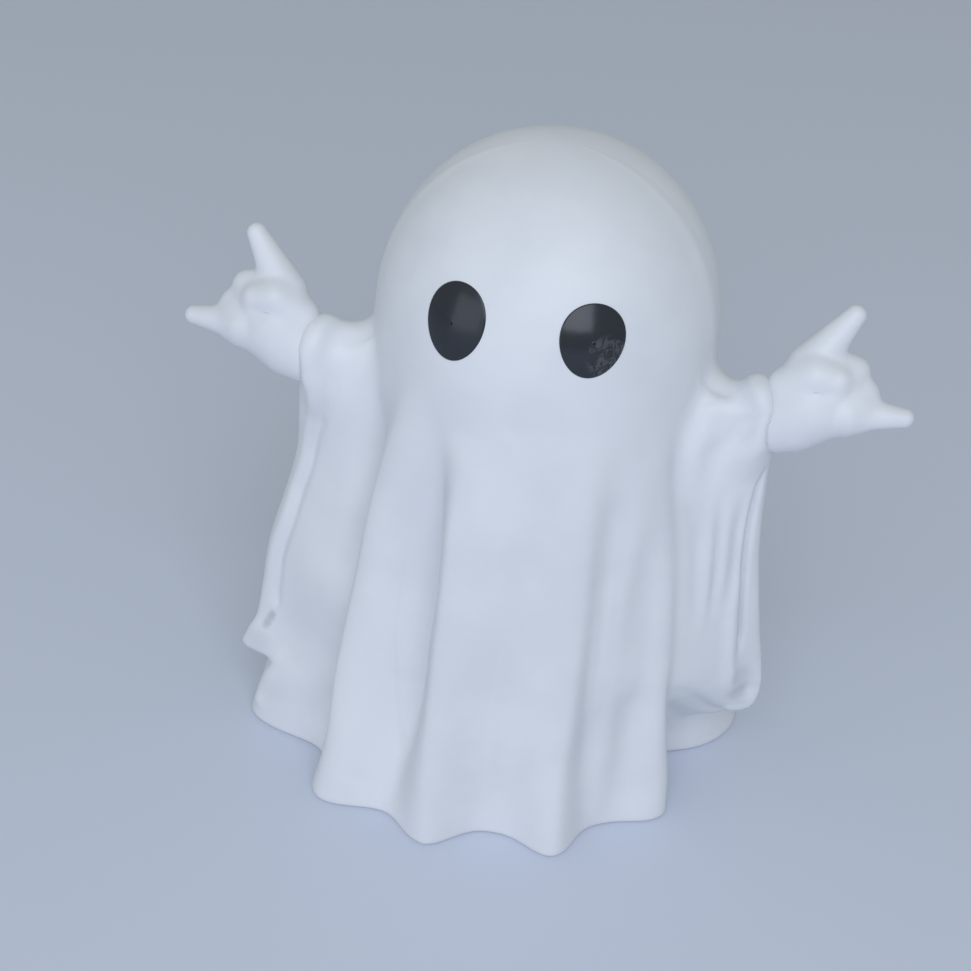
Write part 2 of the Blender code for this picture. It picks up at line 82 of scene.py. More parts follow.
def smooth_step(low: float, high: float, value: Array) -> Array:
    """Ease from 0 at low to 1 at high, which may be the lower of the two."""
    share = np.clip((value - low) / (high - low), 0.0, 1.0)
    return share * share * (3.0 - 2.0 * share)


def soft_max(first: Array, second: Array, blend: float) -> Array:
    """Take the larger of two arrays, rounded where they are within blend of each other.

    Args:
        first: One array.
        second: The other array.
        blend: Difference below which the two flow into each other.

    Returns:
        The rounded maximum.
    """
    close = np.maximum(blend - np.abs(first - second), 0.0) / blend
    return np.maximum(first, second) + 0.25 * blend * close * close


def soft_min(first: Array, second: Array, blend: float) -> Array:
    """Take the smaller of two arrays, rounded as soft_max is."""
    return -soft_max(-first, -second, blend)


def angle_gap(azimuth: Array, centre: Array | float) -> Array:
    """Return the signed angle from centre to azimuth, within half a turn."""
    return (azimuth - centre + math.pi) % math.tau - math.pi


def bell(value: Array, width: float | Array, power: float = 2.0) -> Array:
    """Return a bell curve: e to the minus (|value| / width) to the power."""
    return np.exp(-np.abs(value / width) ** power)


def track(height: Array, *marks: Pair) -> Array:
    """Interpolate smoothly through (height, value) marks given from low to high.

    Args:
        height: Heights to look up.
        marks: Pairs of height and value, lowest first.

    Returns:
        The value at each height, held constant beyond the end marks.
    """
    heights, values = np.array(marks, dtype=float).T
    slopes = np.gradient(values, heights)
    index = np.clip(np.searchsorted(heights, height) - 1, 0, len(marks) - 2)
    span = heights[index + 1] - heights[index]
    share = np.clip((height - heights[index]) / span, 0.0, 1.0)
    square = share * share
    cube = square * share
    return (
        values[index] * (2.0 * cube - 3.0 * square + 1.0)
        + slopes[index] * span * (cube - 2.0 * square + share)
        + values[index + 1] * (3.0 * square - 2.0 * cube)
        + slopes[index + 1] * span * (cube - square)
    )


def kernel(sigma: float) -> tuple[Array, Array]:
    """Return the offsets and weights of a Gaussian, cut off at three sigma."""
    reach = math.ceil(3.0 * sigma)
    offsets = np.arange(-reach, reach + 1)
    weights = np.exp(-0.5 * (offsets / sigma) ** 2)
    return offsets, weights / weights.sum()


def blur_rows(grid: Array, sigma: float) -> Array:
    """Blur a grid along its first axis with a Gaussian of sigma rows, ends held."""
    offsets, weights = kernel(sigma)
    reach = int(offsets[-1])
    padded = np.pad(grid, [(reach, reach)] + [(0, 0)] * (grid.ndim - 1), mode="edge")
    return sum(w * padded[i:i + len(grid)] for i, w in enumerate(weights))


def blur_ring(grid: Array, sigma: float) -> Array:
    """Blur a grid around its second, closed axis with a Gaussian of sigma columns."""
    return sum(w * np.roll(grid, shift, axis=1) for shift, w in zip(*kernel(sigma)))


def unit(vectors: Array) -> Array:
    """Return vectors scaled to length 1."""
    return vectors / np.maximum(np.linalg.norm(vectors, axis=-1, keepdims=True), TINY)


def polar(radius: Array, azimuth: Array, z: Array) -> Array:
    """Return the points at a radius, an azimuth and a height."""
    return np.stack((radius * np.sin(azimuth), -radius * np.cos(azimuth), z), axis=-1)


def grid_normals(points: Array) -> Array:
    """Return unit normals of a (rows, columns, 3) grid that closes over its columns."""
    around = np.roll(points, -1, axis=1) - np.roll(points, 1, axis=1)
    return unit(np.cross(np.gradient(points, axis=0), around))


def closed_faces(rows: int, columns: int) -> list[Array]:
    """Return the faces of a skin of rings, closed by a pole at either end.

    Args:
        rows: Number of rings.
        columns: Points on each ring. The two poles come after the rings.

    Returns:
        Vertex indices of the quads, the first pole's triangles and the last pole's.
    """
    row = np.arange(rows - 1)[:, None] * columns
    near = np.arange(columns)
    far = (near + 1) % columns
    quads = (row + near, row + columns + near, row + columns + far, row + far)
    pole = np.full(columns, rows * columns)
    end = (rows - 1) * columns
    return [
        np.stack(quads, axis=-1).reshape(-1, 4),
        np.stack((pole, near, far), axis=-1),
        np.stack((pole + 1, end + far, end + near), axis=-1),
    ]


def make_object(name: str, points: Array, faces: list[Array]) -> bpy.types.Object:
    """Put arrays of points and faces into a new smooth-shaded object at the origin.

    Args:
        name: Name of the object.
        points: Array of positions.
        faces: Arrays of vertex indices; each array has faces of one size.

    Returns:
        The linked object.
    """
    mesh = bpy.data.meshes.new(name)
    rows = [row for block in faces for row in block.tolist()]
    mesh.from_pydata(points.reshape(-1, 3).tolist(), [], rows)
    mesh.polygons.foreach_set("use_smooth", np.ones(len(rows), dtype=bool))
    mesh.update()
    item = bpy.data.objects.new(name, mesh)
    bpy.context.scene.collection.objects.link(item)
    return item


# Materials


@dataclass(frozen=True)
class Noise:
    """Cells a metre, detail, depth of relief in metres, roughness and distortion."""

    scale: float
    detail: float
    depth: float = 0.0
    roughness: float = 0.5
    distortion: float = 0.0


class Wire:
    """A shader socket that can be used in sums and products."""

    def __init__(self, tree: ShaderTree, socket: bpy.types.NodeSocket) -> None:
        """Keep the tree and the socket."""
        self.tree = tree
        self.socket = socket

    def _math(self, operation: str, first: Wire | float, second: Wire | float) -> Wire:
        """Add one Math node."""
        return self.tree.node(
            "ShaderNodeMath", {"operation": operation}, {0: first, 1: second}
        )

    def __add__(self, other: Wire | float) -> Wire:
        """Return self + other."""
        return self._math("ADD", self, other)

    __radd__ = __add__

    def __sub__(self, other: Wire | float) -> Wire:
        """Return self - other."""
        return self._math("SUBTRACT", self, other)

    def __rsub__(self, other: Wire | float) -> Wire:
        """Return other - self."""
        return self._math("SUBTRACT", other, self)

    def __mul__(self, other: Wire | float) -> Wire:
        """Return self * other."""
        return self._math("MULTIPLY", self, other)

    __rmul__ = __mul__

    def ease(self, low: float, high: float) -> Wire:
        """Ease the value from 0 at low to 1 at high."""
        return self.tree.node(
            "ShaderNodeMapRange",
            {"interpolation_type": "SMOOTHSTEP"},
            {"Value": self, "From Min": low, "From Max": high},
        )


class ShaderTree:
    """The node tree of one Principled material on Object coordinates."""

    def __init__(self, name: str) -> None:
        """Create the material and keep its shader node."""
        self.material = bpy.data.materials.new(name)
        self.material.use_nodes = True
        self.nodes = self.material.node_tree.nodes
        self.links = self.material.node_tree.links
        self.shader = self.nodes["Principled BSDF"]
        self.place = self.node("ShaderNodeTexCoord", {}, {}, "Object")

    def node(
        self,
        kind: str,
        settings: dict[str, object],
        inputs: dict[object, object],
        output: object = 0,
    ) -> Wire:
        """Add one node.

        Args:
            kind: Blender's type name of the node.
            settings: Properties set before the sockets.
            inputs: Socket name or number to a Wire or a value.
            output: Name or number of the output that is returned.

        Returns:
            The chosen output.
        """
        item = self.nodes.new(kind)
        for key, value in settings.items():
            setattr(item, key, value)
        for key, value in inputs.items():
            self.set(item.inputs[key], value)
        return Wire(self, item.outputs[output])

    def set(self, socket: bpy.types.NodeSocket, value: object) -> None:
        """Link a Wire to a socket, or set its plain value."""
        if isinstance(value, Wire):
            self.links.new(value.socket, socket)
        else:
            socket.default_value = value

    def surface(self, **values: object) -> None:
        """Set sockets of the Principled shader; an underscore stands for a space."""
        for key, value in values.items():
            self.set(self.shader.inputs[key.replace("_", " ")], value)

    def noise(self, kind: Noise) -> Wire:
        """Return one noise from 0 to 1."""
        inputs = {
            "Vector": self.place,
            "Scale": kind.scale,
            "Detail": kind.detail,
            "Roughness": kind.roughness,
            "Distortion": kind.distortion,
        }
        return self.node("ShaderNodeTexNoise", {}, inputs, "Fac")

    def cells(self, scale: float, output: str) -> Wire:
        """Return one output of cells around scattered points, scale of them a metre."""
        inputs = {"Vector": self.place, "Scale": scale}
        return self.node("ShaderNodeTexVoronoi", {"feature": "F1"}, inputs, output)

    def distance(self, point: Point) -> Wire:
        """Return the distance to a point in metres."""
        inputs = {0: self.place, 1: point}
        return self.node("ShaderNodeVectorMath", {"operation": "DISTANCE"}, inputs, "Value")

    def blend(self, share: Wire, first: object, second: object) -> Wire:
        """Mix two colours by a share from 0 to 1."""
        inputs = {0: share, 6: first, 7: second}
        return self.node("ShaderNodeMix", {"data_type": "RGBA"}, inputs, 2)

    def bump(self, height: Wire, depth: float, normal: Wire | None = None) -> Wire:
        """Return a normal bumped by a height of 0 to 1 over depth metres."""
        inputs: dict[object, object] = {"Height": height, "Distance": depth, "Strength": 1.0}
        if normal is not None:
            inputs["Normal"] = normal
        return self.node("ShaderNodeBump", {}, inputs, "Normal")


@dataclass(frozen=True)
class SatinWhite:
    """Satin white casting: faint mottling, a fine skin, and a few open pinholes.

    painted_shade_spots are the x, y, z and radius in metres of painted shade spots inside the
    curls and under a curl, each with its share of the darker painted shade tone.
    """

    light: Colour = (0.74, 0.765, 0.80, 1.0)
    dull: Colour = (0.70, 0.725, 0.765, 1.0)
    # Colour of the painted shade inside each pinhole pit.
    pinhole_shade: Colour = (0.16, 0.17, 0.19, 1.0)
    # Colour of the painted shade in the curls' hollows.
    painted_shade: Colour = (0.40, 0.43, 0.47, 1.0)
    painted_shade_spots: tuple[tuple[float, float, float, float, float], ...] = ()
    painted_shade_core: float = 0.25
    roughness: float = 0.41
    ior: float = 1.48
    mottle: Noise = Noise(55.0, 3.0, 0.00005)
    mottle_edges: Pair = (0.35, 0.65)
    mottle_rough: float = 0.04
    grain: Noise = Noise(900.0, 4.0, 0.000012, 0.6)
    grain_rough: float = 0.08
    skin: Noise = Noise(3800.0, 2.0, 0.000004)
    pinhole_radius: float = 0.00022
    pinhole_core: float = 0.55
    pinhole_cells: float = 62.0
    pinhole_pick: Pair = (0.80, 0.81)
    pinhole_depth: float = 0.00025

    def build(self, name: str) -> bpy.types.Material:
        """Return the material under a name."""
        tree = ShaderTree(name)
        broad = tree.noise(self.mottle)
        fine = tree.noise(self.grain)
        away = tree.cells(self.pinhole_cells, "Distance")
        pick = tree.cells(self.pinhole_cells, "Color")
        chosen = tree.node("ShaderNodeSeparateColor", {}, {0: pick}).ease(*self.pinhole_pick)
        radius = self.pinhole_radius * self.pinhole_cells
        pit = (1.0 - away.ease(radius * self.pinhole_core, radius)) * chosen
        tone = tree.blend(broad.ease(*self.mottle_edges), self.dull, self.light)
        # Painted shade: colour each pinhole pit dark.
        colour = tree.blend(pit, tone, self.pinhole_shade)
        # Painted shade: darken the colour towards each spot's centre, where the curls' hollows
        # and a curl's underside fall in shade.
        for x, y, z, radius, share in self.painted_shade_spots:
            away = tree.distance((x, y, z))
            deep = (1.0 - away.ease(self.painted_shade_core * radius, radius)) * share
            colour = tree.blend(deep, colour, self.painted_shade)
        rough = self.roughness + self.grain_rough * fine + self.mottle_rough * broad
        relief = None
        for height, depth in (
            (broad, self.mottle.depth),
            (fine, self.grain.depth),
            (tree.noise(self.skin), self.skin.depth),
            (1.0 - pit, self.pinhole_depth),
        ):
            relief = tree.bump(height, depth, relief)
        tree.surface(Base_Color=colour, Roughness=rough, Normal=relief, IOR=self.ior)
        return tree.material


@dataclass(frozen=True)
class GlossBlack:
    """Glossy black inlay, with a worn and wrinkled patch where its centre is given."""

    colour: Colour = (0.016, 0.020, 0.028, 1.0)
    scuffed: Colour = (0.060, 0.066, 0.076, 1.0)
    roughness: float = 0.16
    ior: float = 1.5
    wave: Noise = Noise(260.0, 2.0, 0.00004)
    wave_rough: float = 0.05
    dust: Noise = Noise(2600.0, 3.0, roughness=0.6)
    dust_edges: Pair = (0.55, 0.75)
    dust_rough: float = 0.10
    patch: Point | None = None
    patch_radius: float = 0.0045
    patch_core: float = 0.72
    patch_ragged: float = 0.0030
    crackle: Noise = Noise(620.0, 4.0, 0.00010, 0.62, 1.6)
    crackle_edges: Pair = (0.46, 0.60)
    crackle_rough: float = 0.16

    def build(self, name: str) -> bpy.types.Material:
        """Return the material under a name."""
        tree = ShaderTree(name)
        wave = tree.noise(self.wave)
        dust = tree.noise(self.dust).ease(*self.dust_edges)
        rough = self.roughness + self.wave_rough * wave + self.dust_rough * dust
        colour: object = self.colour
        relief = tree.bump(wave, self.wave.depth)
        if self.patch is not None:
            crackle = tree.noise(self.crackle)
            ragged = tree.distance(self.patch) + self.patch_ragged * (crackle - 0.5)
            core = self.patch_radius * self.patch_core
            worn = 1.0 - ragged.ease(core, self.patch_radius)
            threads = worn * crackle.ease(*self.crackle_edges)
            colour = tree.blend(threads, self.colour, self.scuffed)
            rough = rough + self.crackle_rough * threads
            relief = tree.bump(threads, self.crackle.depth, relief)
        tree.surface(Base_Color=colour, Roughness=rough, Normal=relief, IOR=self.ior)
        return tree.material


@dataclass(frozen=True)
class PlainSurface:
    """Pale matte finish of the floor."""

    colour: Colour = (0.62, 0.67, 0.78, 1.0)
    roughness: float = 0.6

    def build(self, name: str) -> bpy.types.Material:
        """Return the material under a name."""
        tree = ShaderTree(name)
        tree.surface(Base_Color=self.colour, Roughness=self.roughness)
        return tree.material


# The sheet


@dataclass(frozen=True)
class Fold:
    """One fold or valley of the skirt.

    Each mark holds a height in millimetres, and there the azimuth of the crest and the
    half angles of its two flanks in degrees, that of lower azimuth first, and how far
    the crest stands out in millimetres, below 0 for a valley.
    """

    marks: tuple[tuple[float, float, float, float, float], ...]

    def height_of(self, azimuth: Array, z: Array) -> Array:
        """Return how far the fold stands out: its reach times a bell on each flank."""
        centre, lower, upper, reach = (
            track(TO_MM * z, *[(mark[0], mark[column]) for mark in self.marks])
            for column in (1, 2, 3, 4)
        )
        gap = angle_gap(azimuth, np.radians(centre))
        return MM * reach * bell(gap, np.radians(np.where(gap > 0.0, upper, lower)))


@dataclass(frozen=True)
class SleeveShape:
    """Marks of one hanging sleeve, each a height in millimetres and a value.

    line is the azimuth of its outer edge in degrees, edge how far that edge is from the
    axis in millimetres, front and back the half angle of its two faces in degrees, and
    sharpness the power of the bell across it, low for a thin edge. lip is how far the
    thin lip at its corner stands out over that, in millimetres, and top holds the
    heights where the sleeve starts and where it is whole. hem_rise is how much higher
    the lower end lies for each degree towards the front, in millimetres, up to hem_reach
    degrees, and hem_fade the heights where that starts and is whole. edge_round rounds
    the edge, as a share of its half angle, and lip_half is the half angle of the lip.
    """

    line: Marks
    edge: Marks
    front: Marks
    back: Marks
    sharpness: Marks
    lip: Marks
    hem_rise: float
    top: Pair = (97.0, 87.0)
    hem_reach: float = 24.0
    hem_fade: Pair = (52.0, 36.0)
    edge_round: float = 0.1
    lip_half: float = 4.5


@dataclass(frozen=True)
class Stroke:
    """A soft groove or ridge drawn on the sheet along a line.

    marks are azimuths in degrees and heights in millimetres; width is the half width
    and rise how far it stands out, both in millimetres, rise below 0 for a groove.
    ends are the shares of its length over which it fades in and out. The line has steps
    points a mark, blurred over soften of them, and acts out to reach half widths.
    """

    marks: Marks
    width: float
    rise: float
    ends: Pair = (0.25, 0.25)
    steps: int = 24
    soften: float = 5.0
    reach: float = 3.0

    def press(self, azimuth: Array, points: Array) -> Array:
        """Return the points moved along their normals by a bell across the line."""
        marks = np.array(self.marks)
        place = np.arange(len(marks))
        along = np.linspace(0.0, len(marks) - 1.0, self.steps * len(marks))
        path_azimuth = np.radians(np.interp(along, place, marks[:, 0]))
        path_z = MM * np.interp(along, place, marks[:, 1])
        column = np.abs(angle_gap(path_azimuth[:, None], azimuth[None, :])).argmin(axis=1)
        row = np.abs(points[:, column, 2] - path_z).argmin(axis=0)
        path = blur_rows(points[row, column], self.soften)
        flat = points.reshape(-1, 3)
        reach = self.reach * MM * self.width
        inside = (flat > path.min(axis=0) - reach) & (flat < path.max(axis=0) + reach)
        near = np.flatnonzero(np.all(inside, axis=1))
        gaps = np.linalg.norm(flat[near, None, :] - path[None, :, :], axis=2)
        share = gaps.argmin(axis=1) / (len(along) - 1.0)
        fade_in = smooth_step(0.0, self.ends[0], share)
        fade_out = smooth_step(0.0, self.ends[1], 1.0 - share)
        move = MM * self.rise * (fade_in * fade_out)
        move = move * bell(gaps.min(axis=1), MM * self.width)
        moved = flat.copy()
        moved[near] += move[:, None] * grid_normals(points).reshape(-1, 3)[near]
        return moved.reshape(points.shape)


@dataclass(frozen=True)
class Cuff:
    """The arm tube of a sleeve and the cuff draped over it.

    Lengths are in metres, but lifts are distances out along the arm and how far the
    drape is raised there, in millimetres. A pair holds the values where a part of the
    shape starts and where it is whole: _out along the arm, _rise above its axis, _ahead
    in front of it and _short inward from the mouth. The mouth turns within clip radians
    of the arm; the least values and arm_cosine bound the angle off it.
    """

    azimuth: float = 78.6
    z: float = 0.0908
    radius: float = 0.0070
    reach: float = 0.0452
    clip: float = 0.5
    least_cosine: float = 0.05
    least_sine: float = 1e-4
    arm_cosine: float = 0.2
    end_blend: float = 0.0022
    mouth_lean: float = 0.25
    mouth_turn: float = 0.28
    turn_rise: Pair = (-0.0060, 0.0020)
    lifts: dict[Side, Marks] = field(default_factory=lambda: {
        Side.LEFT: ((32.4, 0.0), (36, -3.2), (37.8, -1.0), (39.3, 1.3), (42, 2.2), (46, 2.0)),
        Side.RIGHT: ((32.4, 0.0), (34.5, -0.8), (37, -1.0), (39.5, -0.2), (42, 1.1), (44, 2.5),
                     (46, 3.4)),
    })
    lift_rise: Pair = (-0.004, 0.005)
    half_depth: float = 0.010
    squeeze: float = 0.28
    squeeze_out: Pair = (0.0335, 0.0375)
    release_out: Pair = (0.0455, 0.0420)
    squeeze_rise: Pair = (-0.0070, 0.0010)
    soften_out: Pair = (0.0300, 0.0345)
    soften_height: float = 0.013
    soften_passes: int = 3
    soften_rows: float = 2.6
    soften_columns: float = 1.8
    mouth_z: float = 0.0004
    mouth_radii: Pair = (0.0058, 0.0044)
    mouth_short: Pair = (0.0050, 0.0020)
    mouth_depth: float = 0.0016
    edge_short: float = 0.0022
    edge_width: float = 0.0024
    edge_ahead: Pair = (-0.0040, 0.0010)
    edge_rise: Pair = (-0.0130, -0.0060)
    edge_end_rise: Pair = (0.010, 0.007)
    edge_height: float = 0.0012

    def tube(self, side: Side, azimuth: Array, z: Array) -> Array:
        """Return the radius of the arm: a level tube whose mouth leans in at the top, 0
        off the arm."""
        gap = angle_gap(azimuth, side.value * math.radians(self.azimuth))
        rise = z - self.z
        half = np.sqrt(np.maximum(self.radius ** 2 - rise ** 2, 0.0))
        ahead = np.cos(gap)
        turned = self.mouth_turn * self.reach * np.tan(np.clip(gap, -self.clip, self.clip))
        turned = turned * smooth_step(*self.turn_rise, rise)
        end = self.reach - self.mouth_lean * np.maximum(rise, 0.0) - side.value * turned
        end = end / np.maximum(ahead, self.least_cosine)
        face = half / np.maximum(np.abs(np.sin(gap)), self.least_sine)
        radius = soft_min(end, face, self.end_blend)
        return np.where((ahead > self.arm_cosine) & (half > 0.0), radius, 0.0)

    def axes(self, side: Side) -> Array:
        """Return the directions out along the arm, to its front and up, one a row."""
        line = side.value * math.radians(self.azimuth)
        outward = (math.sin(line), -math.cos(line), 0.0)
        forward = (-side.value * math.cos(line), -side.value * math.sin(line), 0.0)
        return np.array((outward, forward, UP))

    def local(self, side: Side, points: Array) -> Array:
        """Return how far points lie out along the arm, in front of it and above it."""
        return np.moveaxis((points - (0.0, 0.0, self.z)) @ self.axes(side).T, -1, 0)

    def drape(self, side: Side, points: Array) -> Array:
        """Raise the cuff's top towards the hand, round it off, press its mouth in and
        raise the rolled edge in front of the mouth.

        Args:
            side: Which sleeve.
            points: Grid of points.

        Returns:
            The moved points.
        """
        outward, forward, upward = self.axes(side)
        along, ahead, rise = self.local(side, points)
        lift = MM * track(TO_MM * along, *self.lifts[side])
        lift = lift * smooth_step(*self.lift_rise, rise) * bell(ahead, self.half_depth, FLAT)
        points = points + lift[..., None] * upward
        along, ahead, rise = self.local(side, points)
        squeeze = smooth_step(*self.squeeze_out, along) * smooth_step(*self.release_out, along)
        squeeze = squeeze * smooth_step(*self.squeeze_rise, rise)
        squeeze = squeeze * bell(ahead, self.half_depth, FLAT)
        points = points - (self.squeeze * squeeze * ahead)[..., None] * forward
        share = smooth_step(*self.soften_out, along) * bell(rise, self.soften_height, FLAT)
        for _ in range(self.soften_passes):
            soft = blur_ring(blur_rows(points, self.soften_rows), self.soften_columns)
            points = points + share[..., None] * (soft - points)
        along, ahead, rise = self.local(side, points)
        short = self.reach - self.mouth_lean * np.maximum(rise, 0.0) - along
        short = short + self.mouth_turn * ahead * smooth_step(*self.turn_rise, rise)
        mouth = smooth_step(*self.mouth_radii, np.hypot(ahead, rise - self.mouth_z))
        mouth = mouth * smooth_step(*self.mouth_short, short)
        points = points - (self.mouth_depth * mouth)[..., None] * outward
        edge = bell(short - self.edge_short, self.edge_width)
        edge = edge * smooth_step(*self.edge_ahead, ahead)
        edge = edge * smooth_step(*self.edge_rise, rise)
        edge = edge * smooth_step(*self.edge_end_rise, rise)
        return points + (self.edge_height * edge)[..., None] * grid_normals(points)


FOLDS = (
    Fold(((0, -46.5, 12.5, 12.5, 14.2), (14, -47.3, 8, 12, 11.6), (30, -49, 5.5, 14, 9.4),
          (46, -48.3, 5, 14, 7.2), (63, -47.6, 5, 14, 5.2), (79, -44.5, 5, 13, 3.2),
          (90, -40.5, 7, 11, 1.4), (99, -36, 9, 9, 0))),
    Fold(((0, -30, 5, 5, 0), (12, -30, 8, 4.5, -1.2), (25, -28.3, 13, 4, -3.2),
          (48, -26.2, 15, 3.4, -4.2), (60, -25.2, 15, 3.4, -4.0), (72, -25, 12, 3.6, -3.0),
          (85, -24.8, 8, 5, -1.0), (96, -28, 6, 6, 0))),
    Fold(((0, -15.8, 15, 8.5, 8.3), (12, -17.2, 10.5, 9, 6.8), (29, -18, 5, 11, 5.0),
          (45, -17.6, 4.5, 13, 3.9), (63, -16.8, 4.5, 13, 2.9), (76, -16.4, 5, 12, 1.8),
          (92, -15, 8, 8, 0))),
    Fold(((0, 4, 8, 9, 0), (9, 5, 7, 8, -0.4), (22, 7, 8, 9, -0.9),
          (42, 8, 9, 10, -1.0), (58, 9.5, 9, 9, -0.9), (74, 12, 8, 8, -0.5),
          (85, 14, 6, 6, 0))),
    Fold(((0, 20.5, 9, 9, 6.2), (20, 21.4, 11, 7, 4.2), (32, 23.3, 13, 6.5, 2.9),
          (48, 25, 14, 6, 1.9), (59, 25.6, 13, 6, 1.5), (70, 25.6, 11, 6, 1.1),
          (84, 25.4, 9, 7, 0.7), (95, 25.2, 8, 8, 0))),
    Fold(((0, 31, 5, 5, -0.3), (17, 30, 4.5, 4.5, -0.6), (34, 30.5, 4.5, 4.5, -0.7),
          (50, 31.5, 5, 5, -0.7), (61, 32.6, 5, 5, -0.7), (75, 33.4, 5, 5, -0.5),
          (87, 34, 6, 6, -0.2), (95, 34, 6, 6, 0))),
    Fold(((0, 38, 4, 4, 0), (12, 38.2, 4, 4, 0.5), (40, 39, 4, 4, 0.6),
          (77, 43.6, 5, 5, 0.4), (88, 46, 5, 5, 0))),
    Fold(((0, 47, 5, 5, 0), (17, 48, 4, 4, -0.4), (34, 47.9, 4, 4, -0.7),
          (50, 48.6, 4, 4, -0.6), (65, 49.6, 4, 4, -0.3), (76, 50, 4, 4, 0))),
    Fold(((0, 57, 11, 8.4, 5.7), (10, 57.5, 9, 8, 5.1), (24, 56, 8, 6, 4.3),
          (41, 55.2, 8, 5, 3.5), (56, 55.6, 8, 5, 2.8), (70, 54.5, 8, 6, 1.9),
          (83, 52.2, 8, 7, 0.9), (93, 51, 8, 8, 0))),
    Fold(((0, 79.5, 8, 8, -7.5), (7, 78.5, 8, 8, -5.6), (14, 75, 8, 7, -3.2),
          (26, 71, 6, 6, -1.5), (45, 69, 6, 6, -1.6),
          (70, 67.5, 6, 6, -1.2), (88, 62, 6, 6, -0.3), (96, 60, 6, 6, 0))),
    Fold(((0, 107, 19, 17, 12.8), (8, 106, 18, 16.5, 9.6), (16, 105, 19, 16, 7.6),
          (25, 103, 23, 15, 6.6), (45, 106, 24, 14, 3.4), (70, 112, 18, 14, 0))),
    Fold(((0, 137, 12, 12, 9.5), (20, 138, 11, 11, 7.0), (45, 139, 9, 9, 4.2),
          (70, 140, 8, 8, 1.9), (92, 140, 9, 9, 0))),
    Fold(((0, 154, 6, 6, -0.5), (25, 153, 5, 5, -1.4), (55, 154, 5, 5, -1.2),
          (85, 154, 6, 6, 0))),
    Fold(((0, 172, 11, 11, 7.15), (20, 171, 9, 9, 6.0), (45, 170, 7.5, 7.5, 4.0),
          (72, 169, 6.5, 6.5, 1.8), (96, 168, 8, 8, 0))),
    Fold(((0, -174, 6, 6, -0.4), (25, -175, 5, 5, -1.3), (50, -176, 5, 5, -1.2),
          (80, -177, 6, 6, 0))),
    Fold(((0, -157, 9, 9, 8.0), (20, -158, 7.5, 7.5, 5.6), (42, -159, 6, 6, 3.4),
          (68, -160, 5.5, 5.5, 1.5), (90, -160, 7, 7, 0))),
    Fold(((0, -143, 6, 6, 0), (25, -144, 5, 5, -1.3), (52, -146, 5, 5, -1.4),
          (82, -147, 6, 6, 0))),
    Fold(((0, -129, 12, 12, 12.0), (18, -130, 11, 11, 8.6), (42, -132, 10, 10, 4.8),
          (70, -134, 8.5, 8.5, 1.9), (94, -134, 9, 9, 0))),
    Fold(((0, -106, 8, 8, -0.8), (30, -106, 7, 7, -1.4), (65, -106, 7, 7, -1.0),
          (88, -106, 7, 7, 0))),
    Fold(((0, -78, 24, 14, 22.6), (7, -77.5, 22, 13.5, 20.4), (14, -75.5, 20, 12, 17.4),
          (18.5, -74, 18, 12, 13.0), (24, -72, 17, 12, 9.0), (34, -71, 18, 13, 5.0),
          (48, -73, 19, 14, 2.4), (60, -80, 18, 18, 0))),
)
STROKES = (
    Stroke(((62, 33), (63.7, 30.6), (68, 27.6), (73.3, 22.9), (77.7, 19.5), (81, 17.5),
            (84, 16.5)), 2.0, -0.9, (0.5, 0.05)),
    Stroke(((76.8, 83), (76, 77.6), (75.9, 68.5), (75.9, 59.5), (75.9, 50.4),
            (75.9, 42.3), (76, 36)), 0.55, -1.7, (0.25, 0.2)),
    Stroke(((77.4, 42), (78, 35), (79.4, 29.5), (79.8, 26), (80, 23)), 2.6, -1.5,
           (0.75, 0.16)),
    Stroke(((74.4, 62), (74.2, 53), (74, 45), (74, 37), (75.4, 29.6), (77.5, 24)),
           1.3, 0.9, (0.4, 0.3)),
    Stroke(((78.2, 21), (81, 19.6), (83.5, 22.5)), 1.0, 0.7, (0.3, 0.3)),
    Stroke(((71.4, 97), (67, 93), (63.5, 87), (62.9, 80), (63.5, 72)), 2.0, 0.9,
           (0.2, 0.5)),
    Stroke(((73.3, 97), (69.5, 92.7), (67, 85.6), (66.5, 76)), 2.0, -0.9, (0.2, 0.5)),
    Stroke(((67.6, 78), (67.3, 61), (67, 42)), 1.0, 0.45, (0.4, 0.4)),
    Stroke(((71, 80), (70.7, 65), (70.9, 44)), 1.0, 0.45, (0.4, 0.4)),
    Stroke(((69.2, 79), (69.3, 64), (69.2, 46)), 0.8, -0.45, (0.4, 0.4)),
    Stroke(((73.3, 79), (73.4, 64), (73, 48)), 0.8, -0.45, (0.4, 0.4)),
    Stroke(((64.6, 76), (64.4, 60), (64.2, 44)), 1.2, -0.35, (0.4, 0.4)),
    Stroke(((-68.4, 92), (-68.5, 86), (-72.9, 74), (-74.2, 63), (-74.4, 53.7),
            (-74.8, 42), (-75.2, 35), (-75, 30.6)), 1.0, -0.7, (0.1, 0.05)),
    Stroke(((-71, 91), (-71.4, 85), (-75, 74), (-76.4, 63), (-76.6, 53.7), (-77, 42),
            (-77.2, 35), (-77.6, 27)), 1.2, 0.45, (0.1, 0.3)),
    Stroke(((-72.6, 22), (-74.5, 15), (-76.5, 8), (-76, 2)), 1.8, 0.8, (0.3, 0.1)),
    Stroke(((-56, 92), (-58, 75), (-59.5, 60), (-61, 45)), 3.0, -0.9, (0.3, 0.6)),
)
